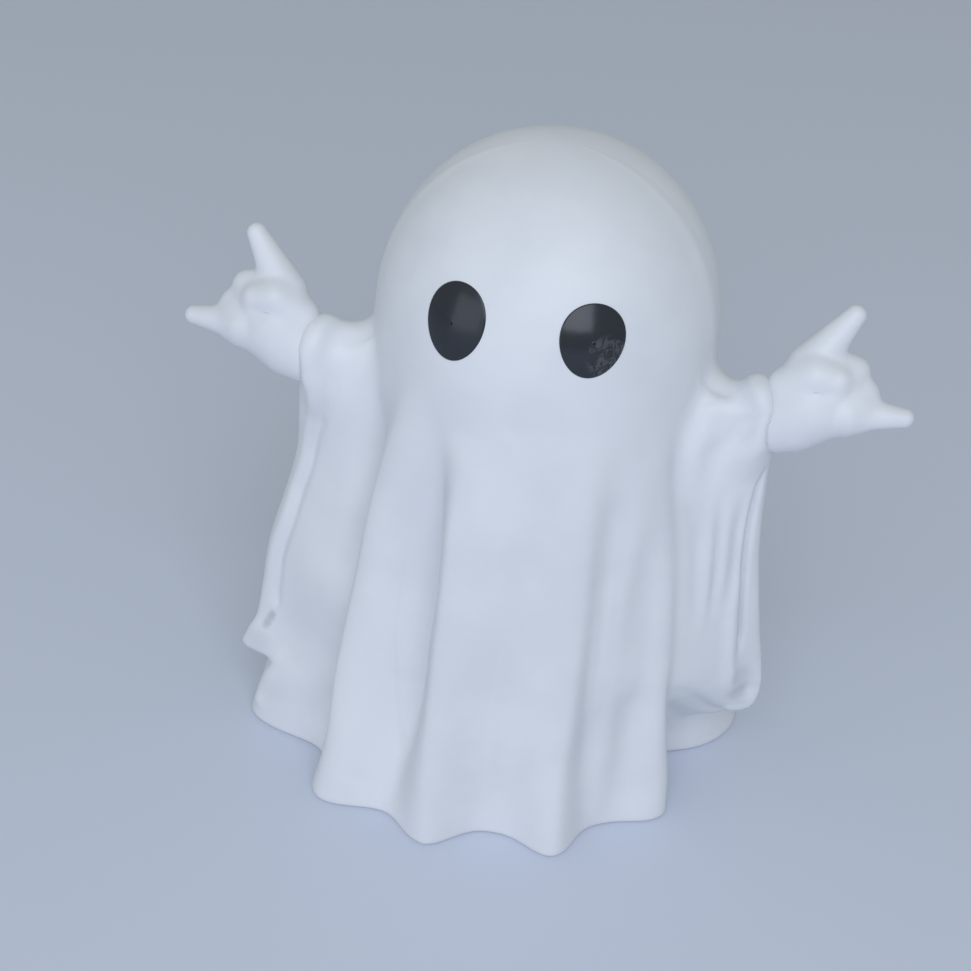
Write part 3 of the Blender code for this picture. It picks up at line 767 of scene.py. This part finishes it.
SLEEVES = {
    Side.LEFT: SleeveShape(
        line=((8, 84.5), (18, 83.5), (30, 82.0), (60, 80.0), (92, 78.6)),
        edge=((0, 33.0), (10, 34.0), (13, 38.0), (15.5, 43.0), (18, 45.9), (20.5, 47.2),
              (23, 48.2), (27, 48.7), (34, 48.5), (44, 47.6), (58, 46.2), (70, 45.4),
              (80, 45.3), (84, 45.0), (88, 44.4), (95, 42.0)),
        front=((0, 17.0), (30, 17.0), (60, 14.0), (76, 12.0), (88, 11.5)),
        back=((0, 9.0), (30, 9.0), (60, 10.0), (76, 11.0), (88, 11.5)),
        sharpness=((0, 1.15), (30, 1.1), (55, 1.25), (72, 1.5), (80, 1.9), (90, 3.0)),
        lip=((13, 0.0), (17, 1.2), (20, 2.2), (24, 2.6), (27, 2.4), (38, 1.2), (60, 0.2)),
        hem_rise=0.75,
    ),
    Side.RIGHT: SleeveShape(
        line=((0, 81.0), (12, 80.0), (20, 79.0), (30, 79.0), (60, 79.5), (92, 78.6)),
        edge=((0, 44.0), (8, 46.6), (16, 50.0), (20, 51.4), (24, 52.1), (29, 52.6),
              (35, 53.1), (40, 53.1), (46, 52.7), (58, 49.8), (70, 47.0), (75, 46.7),
              (80, 46.7), (84, 46.1), (88, 44.8), (95, 42.0)),
        front=((0, 20.0), (25, 20.0), (45, 18.5), (60, 15.5), (76, 12.5), (88, 11.5)),
        back=((0, 11.0), (25, 9.0), (45, 9.5), (60, 10.5), (76, 11.0), (88, 11.5)),
        sharpness=((0, 1.1), (30, 1.05), (55, 1.2), (72, 1.45), (80, 1.8), (90, 3.0)),
        lip=((15.8, 0.0), (16.7, 6.6), (17.4, 8.5), (19.2, 8.1), (21, 7.1), (23, 6.1),
             (25, 4.7), (29, 3.4), (32, 2.7), (35, 2.0), (40, 1.4), (46, 0.8), (60, 0.2)),
        hem_rise=1.0,
    ),
}


@dataclass
class Sheet:
    """The cast sheet: head, folded skirt and two sleeves, hollow and open below.

    Lengths are in metres and front_edges in degrees. The outside has rows by columns
    points, spread by the scan, density, arm and samples values, and blurred over soften
    rows but for the sharp ones. The inside has inner_rows rings: a share wall_rows of
    them below the dome, hollowed towards the sleeves at hollow_levels.
    """

    height: float = 0.136
    head_radius: float = 0.0321
    shoulder_z: float = 0.0967
    dome_power: float = 2.48
    hem_radius: float = 0.0356
    wall: float = 0.0030
    hem_round: float = 0.0009
    hem_band: float = 0.008
    hem_steps: int = 5
    columns: int = 390
    rows: int = 214
    inner_rows: int = 24
    samples: int = 3400
    dome_samples: float = 0.18
    scan_steps: int = 7201
    scan_levels: tuple[float, ...] = (0.020, 0.045, 0.080)
    front_edges: Pair = (118.0, 92.0)
    back_density: float = 0.62
    arm_density: float = 0.9
    arm_level: float = 0.089
    arm_band: float = 0.010
    soften: float = 1.3
    sharp_top: int = 2
    sharp_hem: int = 3
    valley_fade: float = 0.005
    arm_blend: float = 0.0028
    wall_rows: float = 0.72
    hollow_share: float = 0.6
    hollow_levels: Pair = (0.070, 0.050)
    cuff: Cuff = Cuff()
    # Painted shade spots in the figure's left sleeve pit and in and under the figure's right
    # curl: x, y, z, radius and share.
    painted_shade_spots: tuple[tuple[float, float, float, float, float], ...] = (
        (0.0459, -0.0093, 0.0257, 0.0036, 0.40),
        (0.0457, -0.0104, 0.0311, 0.0036, 0.26),
        (-0.0533, -0.0133, 0.0250, 0.0014, 0.40),
        (-0.0527, -0.0133, 0.0261, 0.0015, 0.55),
        (-0.0520, -0.0133, 0.0276, 0.0015, 0.55),
        (-0.0514, -0.0134, 0.0287, 0.0013, 0.50),
        (-0.0548, -0.0128, 0.0208, 0.0045, 0.20),
    )
    folds: tuple[Fold, ...] = FOLDS
    strokes: tuple[Stroke, ...] = STROKES
    sleeves: dict[Side, SleeveShape] = field(default_factory=lambda: SLEEVES)

    def core(self, z: Array) -> Array:
        """Return the radius without folds or sleeves: a superellipse dome above the
        shoulder and a slight flare below it."""
        share = np.clip((z - self.shoulder_z) / (self.height - self.shoulder_z), 0.0, 1.0)
        dome = self.head_radius * np.sqrt(np.maximum(1.0 - share ** self.dome_power, 0.0))
        drop = np.clip((self.shoulder_z - z) / self.shoulder_z, 0.0, 1.0)
        flare = self.head_radius + (self.hem_radius - self.head_radius) * drop
        return np.where(z > self.shoulder_z, dome, flare)

    def relief(self, azimuth: Array, z: Array) -> Array:
        """Return the sum of the folds."""
        total = np.zeros(np.broadcast(azimuth, z).shape)
        for fold in self.folds:
            total = total + fold.height_of(azimuth, z)
        return total

    def sleeve(self, side: Side, azimuth: Array, z: Array) -> Array:
        """Return how far one sleeve stands out from the core: a bell across its outer
        edge, and a narrower one for the lip at its corner.

        Args:
            side: Which sleeve.
            azimuth: Azimuths.
            z: Heights.

        Returns:
            The reach, 0 far from the sleeve.
        """
        shape = self.sleeves[side]
        level = TO_MM * z
        line = np.radians(track(level, *shape.line))
        gap = -side.value * angle_gap(azimuth, side.value * line)
        half = np.where(gap > 0.0, track(level, *shape.front), track(level, *shape.back))
        turn = np.degrees(np.clip(gap, 0.0, math.radians(shape.hem_reach)))
        lower = level - shape.hem_rise * turn * smooth_step(*shape.hem_fade, level)
        out = np.maximum(MM * track(lower, *shape.edge) - self.core(z), 0.0)
        out = out * smooth_step(*shape.top, level)
        across = np.hypot(gap / np.radians(half), shape.edge_round) - shape.edge_round
        lip = MM * track(level, *shape.lip) * bell(gap, math.radians(shape.lip_half))
        return out * np.exp(-across ** track(level, *shape.sharpness)) + lip

    def section(self, azimuth: Array, z: Array) -> Array:
        """Return the radius of the whole sheet.

        Ridges and sleeves join as the cube root of the sum of their cubes, so each keeps
        its own reach where the other is 0. Valleys fade out under a sleeve.
        """
        folds = self.relief(azimuth, z)
        ridge = np.maximum(folds, 0.0) ** 3
        valley = np.minimum(folds, 0.0)
        for side in Side:
            hanging = self.sleeve(side, azimuth, z)
            ridge = ridge + hanging ** 3
            valley = valley * smooth_step(self.valley_fade, 0.0, hanging)
        radius = self.core(z) + np.cbrt(ridge) + valley
        for side in Side:
            radius = soft_max(radius, self.cuff.tube(side, azimuth, z), self.arm_blend)
        return radius

    def azimuths(self) -> Array:
        """Return the columns' azimuths, evenly spaced along the mean of three sections
        and closer together on the front."""
        fine = np.linspace(-math.pi, math.pi, self.scan_steps)
        step = np.zeros(len(fine) - 1)
        for z in self.scan_levels:
            radius = self.section(fine, np.full(fine.shape, z))
            step += np.hypot(np.diff(radius * np.sin(fine)), np.diff(radius * np.cos(fine)))
        middle = np.abs(0.5 * (fine[1:] + fine[:-1]))
        front = smooth_step(*np.radians(self.front_edges), middle)
        step = step * (self.back_density + (1.0 - self.back_density) * front)
        total = np.concatenate(([0.0], np.cumsum(step)))
        wanted = np.arange(self.columns) / self.columns * total[-1]
        return np.interp(wanted, total, fine)

    def profile_grid(self) -> tuple[Array, Array]:
        """Return the azimuths and a (rows, columns, 2) grid of radius and height.

        Each column is one profile from the crown to the hem. It is sampled densely in
        height, then resampled along its own length, so a flat stretch such as the top
        of an arm gets as many points as an upright one. Rows stand closer at the arms.
        """
        azimuth = self.azimuths()
        share = np.linspace(0.0, 1.0, self.samples)
        dome = self.dome_samples
        crown = self.height - (self.height - self.shoulder_z) * (
            1.0 - np.cos(np.minimum(share / dome, 1.0) * QUARTER)
        )
        lower = self.shoulder_z * (1.0 - (share - dome) / (1.0 - dome))
        z = np.where(share < dome, crown, lower)[:, None]
        radius = self.section(azimuth[None, :], z)
        radius[0] = 0.0
        step = np.hypot(np.diff(radius, axis=0), np.diff(z, axis=0))
        middle = 0.5 * (z[1:] + z[:-1])
        step = step * (1.0 + self.arm_density * bell(middle - self.arm_level, self.arm_band))
        length = np.concatenate((np.zeros((1, self.columns)), np.cumsum(step, axis=0)))
        offset = 2.0 * np.arange(self.columns)[None, :]
        wanted = (np.linspace(0.0, 1.0, self.rows)[:, None] + offset).T.ravel()
        known = (length / length[-1:] + offset).T.ravel()
        layers = [
            np.interp(wanted, known, values.T.ravel()).reshape(self.columns, self.rows).T
            for values in (radius, np.broadcast_to(z, radius.shape))
        ]
        return azimuth, np.stack(layers, axis=-1)

    def outer_points(self) -> tuple[Array, Array]:
        """Return the azimuths and the (rows, columns, 3) points of the outside."""
        azimuth, grid = self.profile_grid()
        soft = blur_rows(grid, self.soften)
        soft[:self.sharp_top] = grid[:self.sharp_top]
        soft[-self.sharp_hem:] = grid[-self.sharp_hem:]
        points = polar(soft[..., 0], azimuth, soft[..., 1])
        for side in Side:
            points = self.cuff.drape(side, points)
        for stroke in self.strokes:
            points = stroke.press(azimuth, points)
        return azimuth, points

    def inner_rings(self, azimuth: Array) -> list[Array]:
        """Return the rings of the inside from just over the hem to just under the top."""
        rings = []
        rise = self.height - self.wall - self.shoulder_z
        for share in np.linspace(0.0, 1.0, self.inner_rows)[1:-1]:
            if share < self.wall_rows:
                up = (self.shoulder_z - self.hem_round) * share / self.wall_rows
                level = np.full(azimuth.shape, self.hem_round + up)
                reach = self.core(level) + self.relief(azimuth, level) - self.wall
                deep = self.hollow_share * smooth_step(*self.hollow_levels, level)
                for side in Side:
                    inside = self.core(level) + self.sleeve(side, azimuth, level) - self.wall
                    reach = np.maximum(reach, reach + (inside - reach) * deep)
            else:
                turn = (share - self.wall_rows) / (1.0 - self.wall_rows) * QUARTER
                level = np.full(azimuth.shape, self.shoulder_z + rise * math.sin(turn))
                dome = np.maximum(1.0 - math.sin(turn) ** self.dome_power, 0.0)
                reach = np.full(azimuth.shape, (self.head_radius - self.wall) * np.sqrt(dome))
            rings.append(polar(reach, azimuth, level))
        return rings

    def build(self) -> bpy.types.Object:
        """Build the whole sheet as one closed mesh that replaces the CAD body."""
        azimuth, outer = self.outer_points()
        base = outer[-1] * (1.0, 1.0, 0.0)
        ahead = np.roll(base, -1, axis=0) - np.roll(base, 1, axis=0)
        inward = unit(np.cross(UP, ahead))
        outer[..., 2] += smooth_step(self.hem_band, 0.0, outer[..., 2]) * self.hem_round
        turn = np.linspace(0.0, QUARTER, self.hem_steps)
        inset = self.hem_round * (1.0 - np.cos(turn))
        level = self.hem_round * (1.0 - np.sin(turn))
        insets = np.concatenate((inset[1:], self.wall - inset[::-1]))
        edge = base + insets[:, None, None] * inward
        edge[..., 2] = np.concatenate((level[1:], level[::-1]))[:, None]
        rings = np.concatenate((outer[1:], edge, self.inner_rings(azimuth)))
        poles = [[0.0, 0.0, self.height], [0.0, 0.0, self.height - self.wall]]
        points = np.concatenate((rings.reshape(-1, 3), poles))
        piece = make_object("sheet", points, closed_faces(len(rings), self.columns))
        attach(piece, "root")
        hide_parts("sheet_body")
        finish = SatinWhite(painted_shade_spots=self.painted_shade_spots)
        piece.data.materials.append(finish.build("satin_white_sheet"))
        return piece


# The eyes


@dataclass
class Eye:
    """An egg-shaped glossy inlay that follows the curve of the head.

    azimuth and tilt are in degrees and lengths in metres. The dome stands proud of its
    edge, which stands lift over the head; z_share turns a distance up the face into a
    height, and probe is the half step over which the slope of the head is taken.
    """

    side: Side
    sheet: Sheet
    half_height: float
    tilt: float
    finish: GlossBlack
    azimuth: float = 23.3
    centre_z: float = 0.1127
    half_width: float = 0.0058
    taper: float = 0.10
    z_share: float = 0.93
    proud: float = 0.0005
    lift: float = 0.00022
    rim: float = 0.0004
    rim_drop: float = 0.5
    side_depth: float = 0.0005
    depth: float = 0.0010
    back_share: float = 0.96
    probe: float = 0.0002
    steps: int = 128
    rings: int = 28
    rim_rings: int = 5

    def surface_point(
        self, across: Array, up: Array, outward: Array
    ) -> Array:
        """Map offsets on the face of the eye to the curved head.

        Args:
            across: Distance to the figure's left.
            up: Distance upwards.
            outward: Height over the head's surface.

        Returns:
            Points in space.
        """
        turn = math.radians(self.tilt) * self.side.value
        turned = across * math.cos(turn) + up * math.sin(turn)
        rise = -across * math.sin(turn) + up * math.cos(turn)
        z = self.centre_z + self.z_share * rise
        fall = self.sheet.core(z - self.probe) - self.sheet.core(z + self.probe)
        lean = np.arctan2(fall, 2.0 * self.probe)
        radius = self.sheet.core(z)
        azimuth = self.side.value * math.radians(self.azimuth) + turned / radius
        return polar(radius + outward * np.cos(lean), azimuth, z + outward * np.sin(lean))

    def build(self) -> bpy.types.Object:
        """Build the inlay: a low dome, a rounded rim and a flat back in the head."""
        angle = np.arange(self.steps) * (math.tau / self.steps)
        dome_share = np.linspace(0.0, 1.0, self.rings + 1)[1:]
        edge_turn = np.linspace(0.0, QUARTER, self.rim_rings + 1)[1:]
        rim_share = self.rim / self.half_width
        share = np.concatenate((
            dome_share * (1.0 - rim_share),
            1.0 - rim_share * (1.0 - np.sin(edge_turn)),
            [1.0, self.back_share],
        ))
        outward = np.concatenate((
            self.lift + self.proud * (1.0 - dome_share ** 2),
            self.lift - self.rim * self.rim_drop * (1.0 - np.cos(edge_turn)),
            [-self.side_depth, -self.depth],
        ))
        width = self.half_width * (1.0 + self.taper * np.sin(angle))
        across = share[:, None] * (width * np.cos(angle))
        up = share[:, None] * (self.half_height * np.sin(angle))
        rings = self.surface_point(across, up, outward[:, None])
        zero = np.zeros(1)
        front = self.surface_point(zero, zero, zero + self.proud + self.lift)
        back = self.surface_point(zero, zero, zero - self.depth)
        points = np.concatenate((rings.reshape(-1, 3), front, back))
        quads, nose, tail = closed_faces(len(rings), self.steps)
        # The quads face the other way than the two fans.
        faces = [quads[:, ::-1], nose, tail]
        piece = make_object(self.side.label + "_eye_inlay", points, faces)
        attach(piece, "root")
        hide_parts(self.side.label + "_eye")
        piece.data.materials.append(self.finish.build("gloss_black_" + self.side.label))
        return piece


# The hands


@dataclass(frozen=True)
class Limb:
    """A rounded tapered limb between two points, drawn for the figure's left side."""

    start: Point
    end: Point
    start_radius: float
    end_radius: float
    blend: float


@dataclass
class Hand:
    """One hand: index and little finger out, thumb laid over the folded fingers.

    Lengths are in metres. skew is a direction that no limb runs along. Each of the
    passes moves the points by relax of the way to the surface, with slopes taken over
    probe and held above least_slope.
    """

    side: Side
    voxel: float = 0.00034
    sides: int = 24
    cap_steps: int = 15
    skew: Point = (0.3, 1.0, 0.2)
    passes: int = 8
    relax: float = 0.8
    probe: float = 0.00005
    least_slope: float = 0.05
    limbs: tuple[Limb, ...] = (
        Limb((0.0440, -0.0082, 0.0904), (0.0462, -0.0078, 0.0914), 0.0055, 0.0060, 0.0020),
        Limb((0.0460, -0.0078, 0.0925), (0.0500, -0.0076, 0.0945), 0.0057, 0.0055, 0.0020),
        Limb((0.0500, -0.0080, 0.0938), (0.0560, -0.0082, 0.0944), 0.0053, 0.0038, 0.0020),
        Limb((0.0500, -0.0076, 0.0970), (0.0545, -0.0062, 0.1005), 0.0052, 0.0034, 0.0020),
        Limb((0.0489, -0.0062, 0.1020), (0.0553, -0.0027, 0.1112), 0.0041, 0.0019, 0.0016),
        Limb((0.0575, -0.0080, 0.0945), (0.0668, -0.0075, 0.0946), 0.0035, 0.0018, 0.0016),
        Limb((0.0567, -0.0050, 0.1012), (0.0540, -0.0088, 0.0990), 0.0029, 0.0024, 0.0009),
        Limb((0.0590, -0.0060, 0.0975), (0.0562, -0.0098, 0.0955), 0.0029, 0.0024, 0.0009),
        Limb((0.0447, -0.0086, 0.0985), (0.0500, -0.0095, 0.1020), 0.0029, 0.0026, 0.0010),
        Limb((0.0500, -0.0095, 0.1020), (0.0538, -0.0096, 0.1016), 0.0026, 0.0021, 0.0009),
    )

    def distance(self, points: Array) -> Array:
        """Return the signed distance to the hand: the rounded minimum over the limbs
        of the distance to each axis less the radius there.

        Args:
            points: Positions, drawn for the left side.

        Returns:
            One distance for each position, negative inside.
        """
        total = np.full(len(points), math.inf)
        for limb in self.limbs:
            start = np.array(limb.start)
            axis = np.array(limb.end) - start
            share = np.clip((points - start) @ axis / (axis @ axis), 0.0, 1.0)
            radius = limb.start_radius + (limb.end_radius - limb.start_radius) * share
            near = np.linalg.norm(points - start - share[:, None] * axis, axis=1) - radius
            total = soft_min(total, near, 2.0 * limb.blend)
        return total

    def limb_mesh(self, limb: Limb) -> tuple[Array, list[Array]]:
        """Return a rough closed tube around one limb, with rounded ends."""
        start = np.array(limb.start)
        axis = np.array(limb.end) - start
        length = float(np.linalg.norm(axis))
        along = axis / length
        side = unit(np.cross(along, self.skew))
        other = np.cross(along, side)
        turn = np.linspace(0.0, math.pi, self.cap_steps)[1:-1]
        centre = np.where(turn < QUARTER, 0.0, length)
        radius = np.where(turn < QUARTER, limb.start_radius, limb.end_radius)
        angle = np.arange(self.sides) * (math.tau / self.sides)
        circle = np.cos(angle)[:, None] * side + np.sin(angle)[:, None] * other
        rings = (
            start
            + (centre - radius * np.cos(turn))[:, None, None] * along
            + (radius * np.sin(turn))[:, None, None] * circle
        )
        first = start - along * limb.start_radius
        last = start + along * (length + limb.end_radius)
        faces = [part[:, ::-1] for part in closed_faces(len(rings), self.sides)]
        return np.concatenate((rings.reshape(-1, 3), [first, last])), faces

    def settle(self, points: Array) -> Array:
        """Return the points drawn onto the surface where the distance is zero."""
        for _ in range(self.passes):
            slopes = [
                (self.distance(points + offset) - self.distance(points - offset))
                / (2.0 * self.probe)
                for offset in np.eye(3) * self.probe
            ]
            slope = np.stack(slopes, axis=-1)
            size = np.maximum((slope ** 2).sum(axis=1, keepdims=True), self.least_slope)
            points = points - self.relax * self.distance(points)[:, None] * slope / size
        return points

    def build(self) -> bpy.types.Object:
        """Build the hand: limbs fused on a voxel grid, then drawn onto the smooth
        surface and mirrored for the right side."""
        blocks: list[Array] = []
        faces: list[Array] = []
        for limb in self.limbs:
            points, parts = self.limb_mesh(limb)
            faces.extend(part + len(points) * len(blocks) for part in parts)
            blocks.append(points)
        piece = make_object(self.side.label + "_hand_cast", np.concatenate(blocks), faces)
        grid = piece.modifiers.new("voxels", "REMESH")
        grid.mode = "VOXEL"
        grid.voxel_size = self.voxel
        graph = bpy.context.evaluated_depsgraph_get()
        mesh = bpy.data.meshes.new_from_object(piece.evaluated_get(graph))
        piece.modifiers.clear()
        piece.data = mesh
        flat = np.empty(len(mesh.vertices) * 3)
        mesh.vertices.foreach_get("co", flat)
        points = self.settle(flat.reshape(-1, 3))
        points[:, 0] *= self.side.value
        mesh.vertices.foreach_set("co", points.ravel())
        if self.side is Side.RIGHT:
            mesh.flip_normals()
        mesh.polygons.foreach_set("use_smooth", np.ones(len(mesh.polygons), dtype=bool))
        mesh.update()
        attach(piece, "root")
        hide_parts(self.side.label + "_hand")
        mesh.materials.clear()
        mesh.materials.append(SatinWhite().build("satin_white_" + self.side.label))
        return piece


# The stage


def direction(azimuth: float, elevation: float) -> Vector:
    """Return the unit vector at an azimuth and an elevation in degrees."""
    turn = math.radians(azimuth)
    rise = math.radians(elevation)
    level = math.cos(rise)
    return Vector((math.sin(turn) * level, -math.cos(turn) * level, math.sin(rise)))


@dataclass(frozen=True)
class Lamp:
    """A soft square lamp that looks at the figure, at a distance from its middle."""

    name: str
    azimuth: float
    elevation: float
    distance: float
    power: float
    size: float = 0.9
    target: Point = (0.0, 0.0, 0.07)
    colour: Point = (0.83, 0.87, 1.0)

    def build(self) -> None:
        """Add the lamp to the scene."""
        lamp = bpy.data.lights.new(self.name, "AREA")
        lamp.shape = "RECTANGLE"
        lamp.size = lamp.size_y = self.size
        lamp.energy = self.power
        lamp.color = self.colour
        item = bpy.data.objects.new(self.name, lamp)
        away = direction(self.azimuth, self.elevation)
        item.location = Vector(self.target) + away * self.distance
        item.rotation_euler = away.to_track_quat("Z", "Y").to_euler()
        bpy.context.scene.collection.objects.link(item)


@dataclass
class Stage:
    """Floor, lights and the photograph's view.

    The world has one colour and strength as a light and another as the camera sees it.
    """

    floor_half: float = 3.0
    position: Point = (0.039617, -0.275182, 0.256632)
    azimuth: float = 10.236
    elevation: float = 35.08
    roll: float = 3.029
    focal_pixels: float = 1700.0
    clip_start: float = 0.01
    world_light: tuple[Colour, float] = ((0.94, 1.0, 0.99, 1.0), 0.423)
    world_seen: tuple[Colour, float] = ((0.80, 0.82, 0.85, 1.0), 1.0)
    lamps: tuple[Lamp, ...] = (
        Lamp("window", 14.0, 38.0, 1.1, 6.3),
        Lamp("fill", -35.0, 10.0, 1.3, 2.5),
    )

    def build_floor(self) -> bpy.types.Object:
        """Build the plain pale floor."""
        corner = np.array([-self.floor_half, self.floor_half])
        x, y = np.meshgrid(corner, corner)
        points = np.stack((x, y, np.zeros_like(x)), axis=-1)
        piece = make_object("floor", points, [np.array([[0, 1, 3, 2]])])
        piece.data.materials.append(PlainSurface().build("pale_floor"))
        return piece

    def build_world(self) -> None:
        """Light the surroundings softly and show them near white to the camera."""
        world = bpy.data.worlds.new("surroundings")
        bpy.context.scene.world = world
        world.use_nodes = True
        nodes = world.node_tree.nodes
        links = world.node_tree.links
        mix = nodes.new("ShaderNodeMixShader")
        path = nodes.new("ShaderNodeLightPath")
        links.new(path.outputs["Is Camera Ray"], mix.inputs[0])
        shades = (nodes["Background"], nodes.new("ShaderNodeBackground"))
        for slot, (shade, (colour, strength)) in enumerate(
            zip(shades, (self.world_light, self.world_seen)), start=1
        ):
            shade.inputs["Color"].default_value = colour
            shade.inputs["Strength"].default_value = strength
            links.new(shade.outputs[0], mix.inputs[slot])
        links.new(mix.outputs[0], nodes["World Output"].inputs["Surface"])

    def build_camera(self) -> None:
        """Place the camera at the photograph's view."""
        back = direction(self.azimuth, self.elevation)
        right = (-back).cross(Vector(UP)).normalized()
        up = right.cross(-back)
        lean = math.radians(self.roll)
        across = right * math.cos(lean) + up * math.sin(lean)
        upright = up * math.cos(lean) - right * math.sin(lean)
        lens = bpy.data.cameras.new("camera")
        lens.sensor_width = SENSOR_MM
        lens.lens = self.focal_pixels / IMAGE_PIXELS * SENSOR_MM
        lens.clip_start = self.clip_start
        camera = bpy.data.objects.new("camera", lens)
        pose = Matrix((across, upright, back)).transposed().to_4x4()
        pose.translation = Vector(self.position)
        camera.matrix_world = pose
        bpy.context.scene.collection.objects.link(camera)
        bpy.context.scene.camera = camera


def main() -> None:
    """Build every piece in order."""
    logging.basicConfig(level=logging.INFO, format="%(name)s: %(message)s")
    stage = Stage()
    stage.build_camera()
    stage.build_world()
    for lamp in stage.lamps:
        lamp.build()
    stage.build_floor()
    sheet = Sheet()
    worn = GlossBlack(patch=(0.0145, -0.0273, 0.1100))
    for item in (
        sheet,
        Eye(Side.RIGHT, sheet, half_height=0.0072, tilt=-2.0, finish=GlossBlack()),
        Eye(Side.LEFT, sheet, half_height=0.0067, tilt=10.0, finish=worn),
        Hand(Side.RIGHT),
        Hand(Side.LEFT),
    ):
        piece = item.build()
        LOG.info("%s: %d faces", piece.name, len(piece.data.polygons))
    bpy.context.scene.view_settings.view_transform = "Standard"


if __name__ == "__main__":
    main()
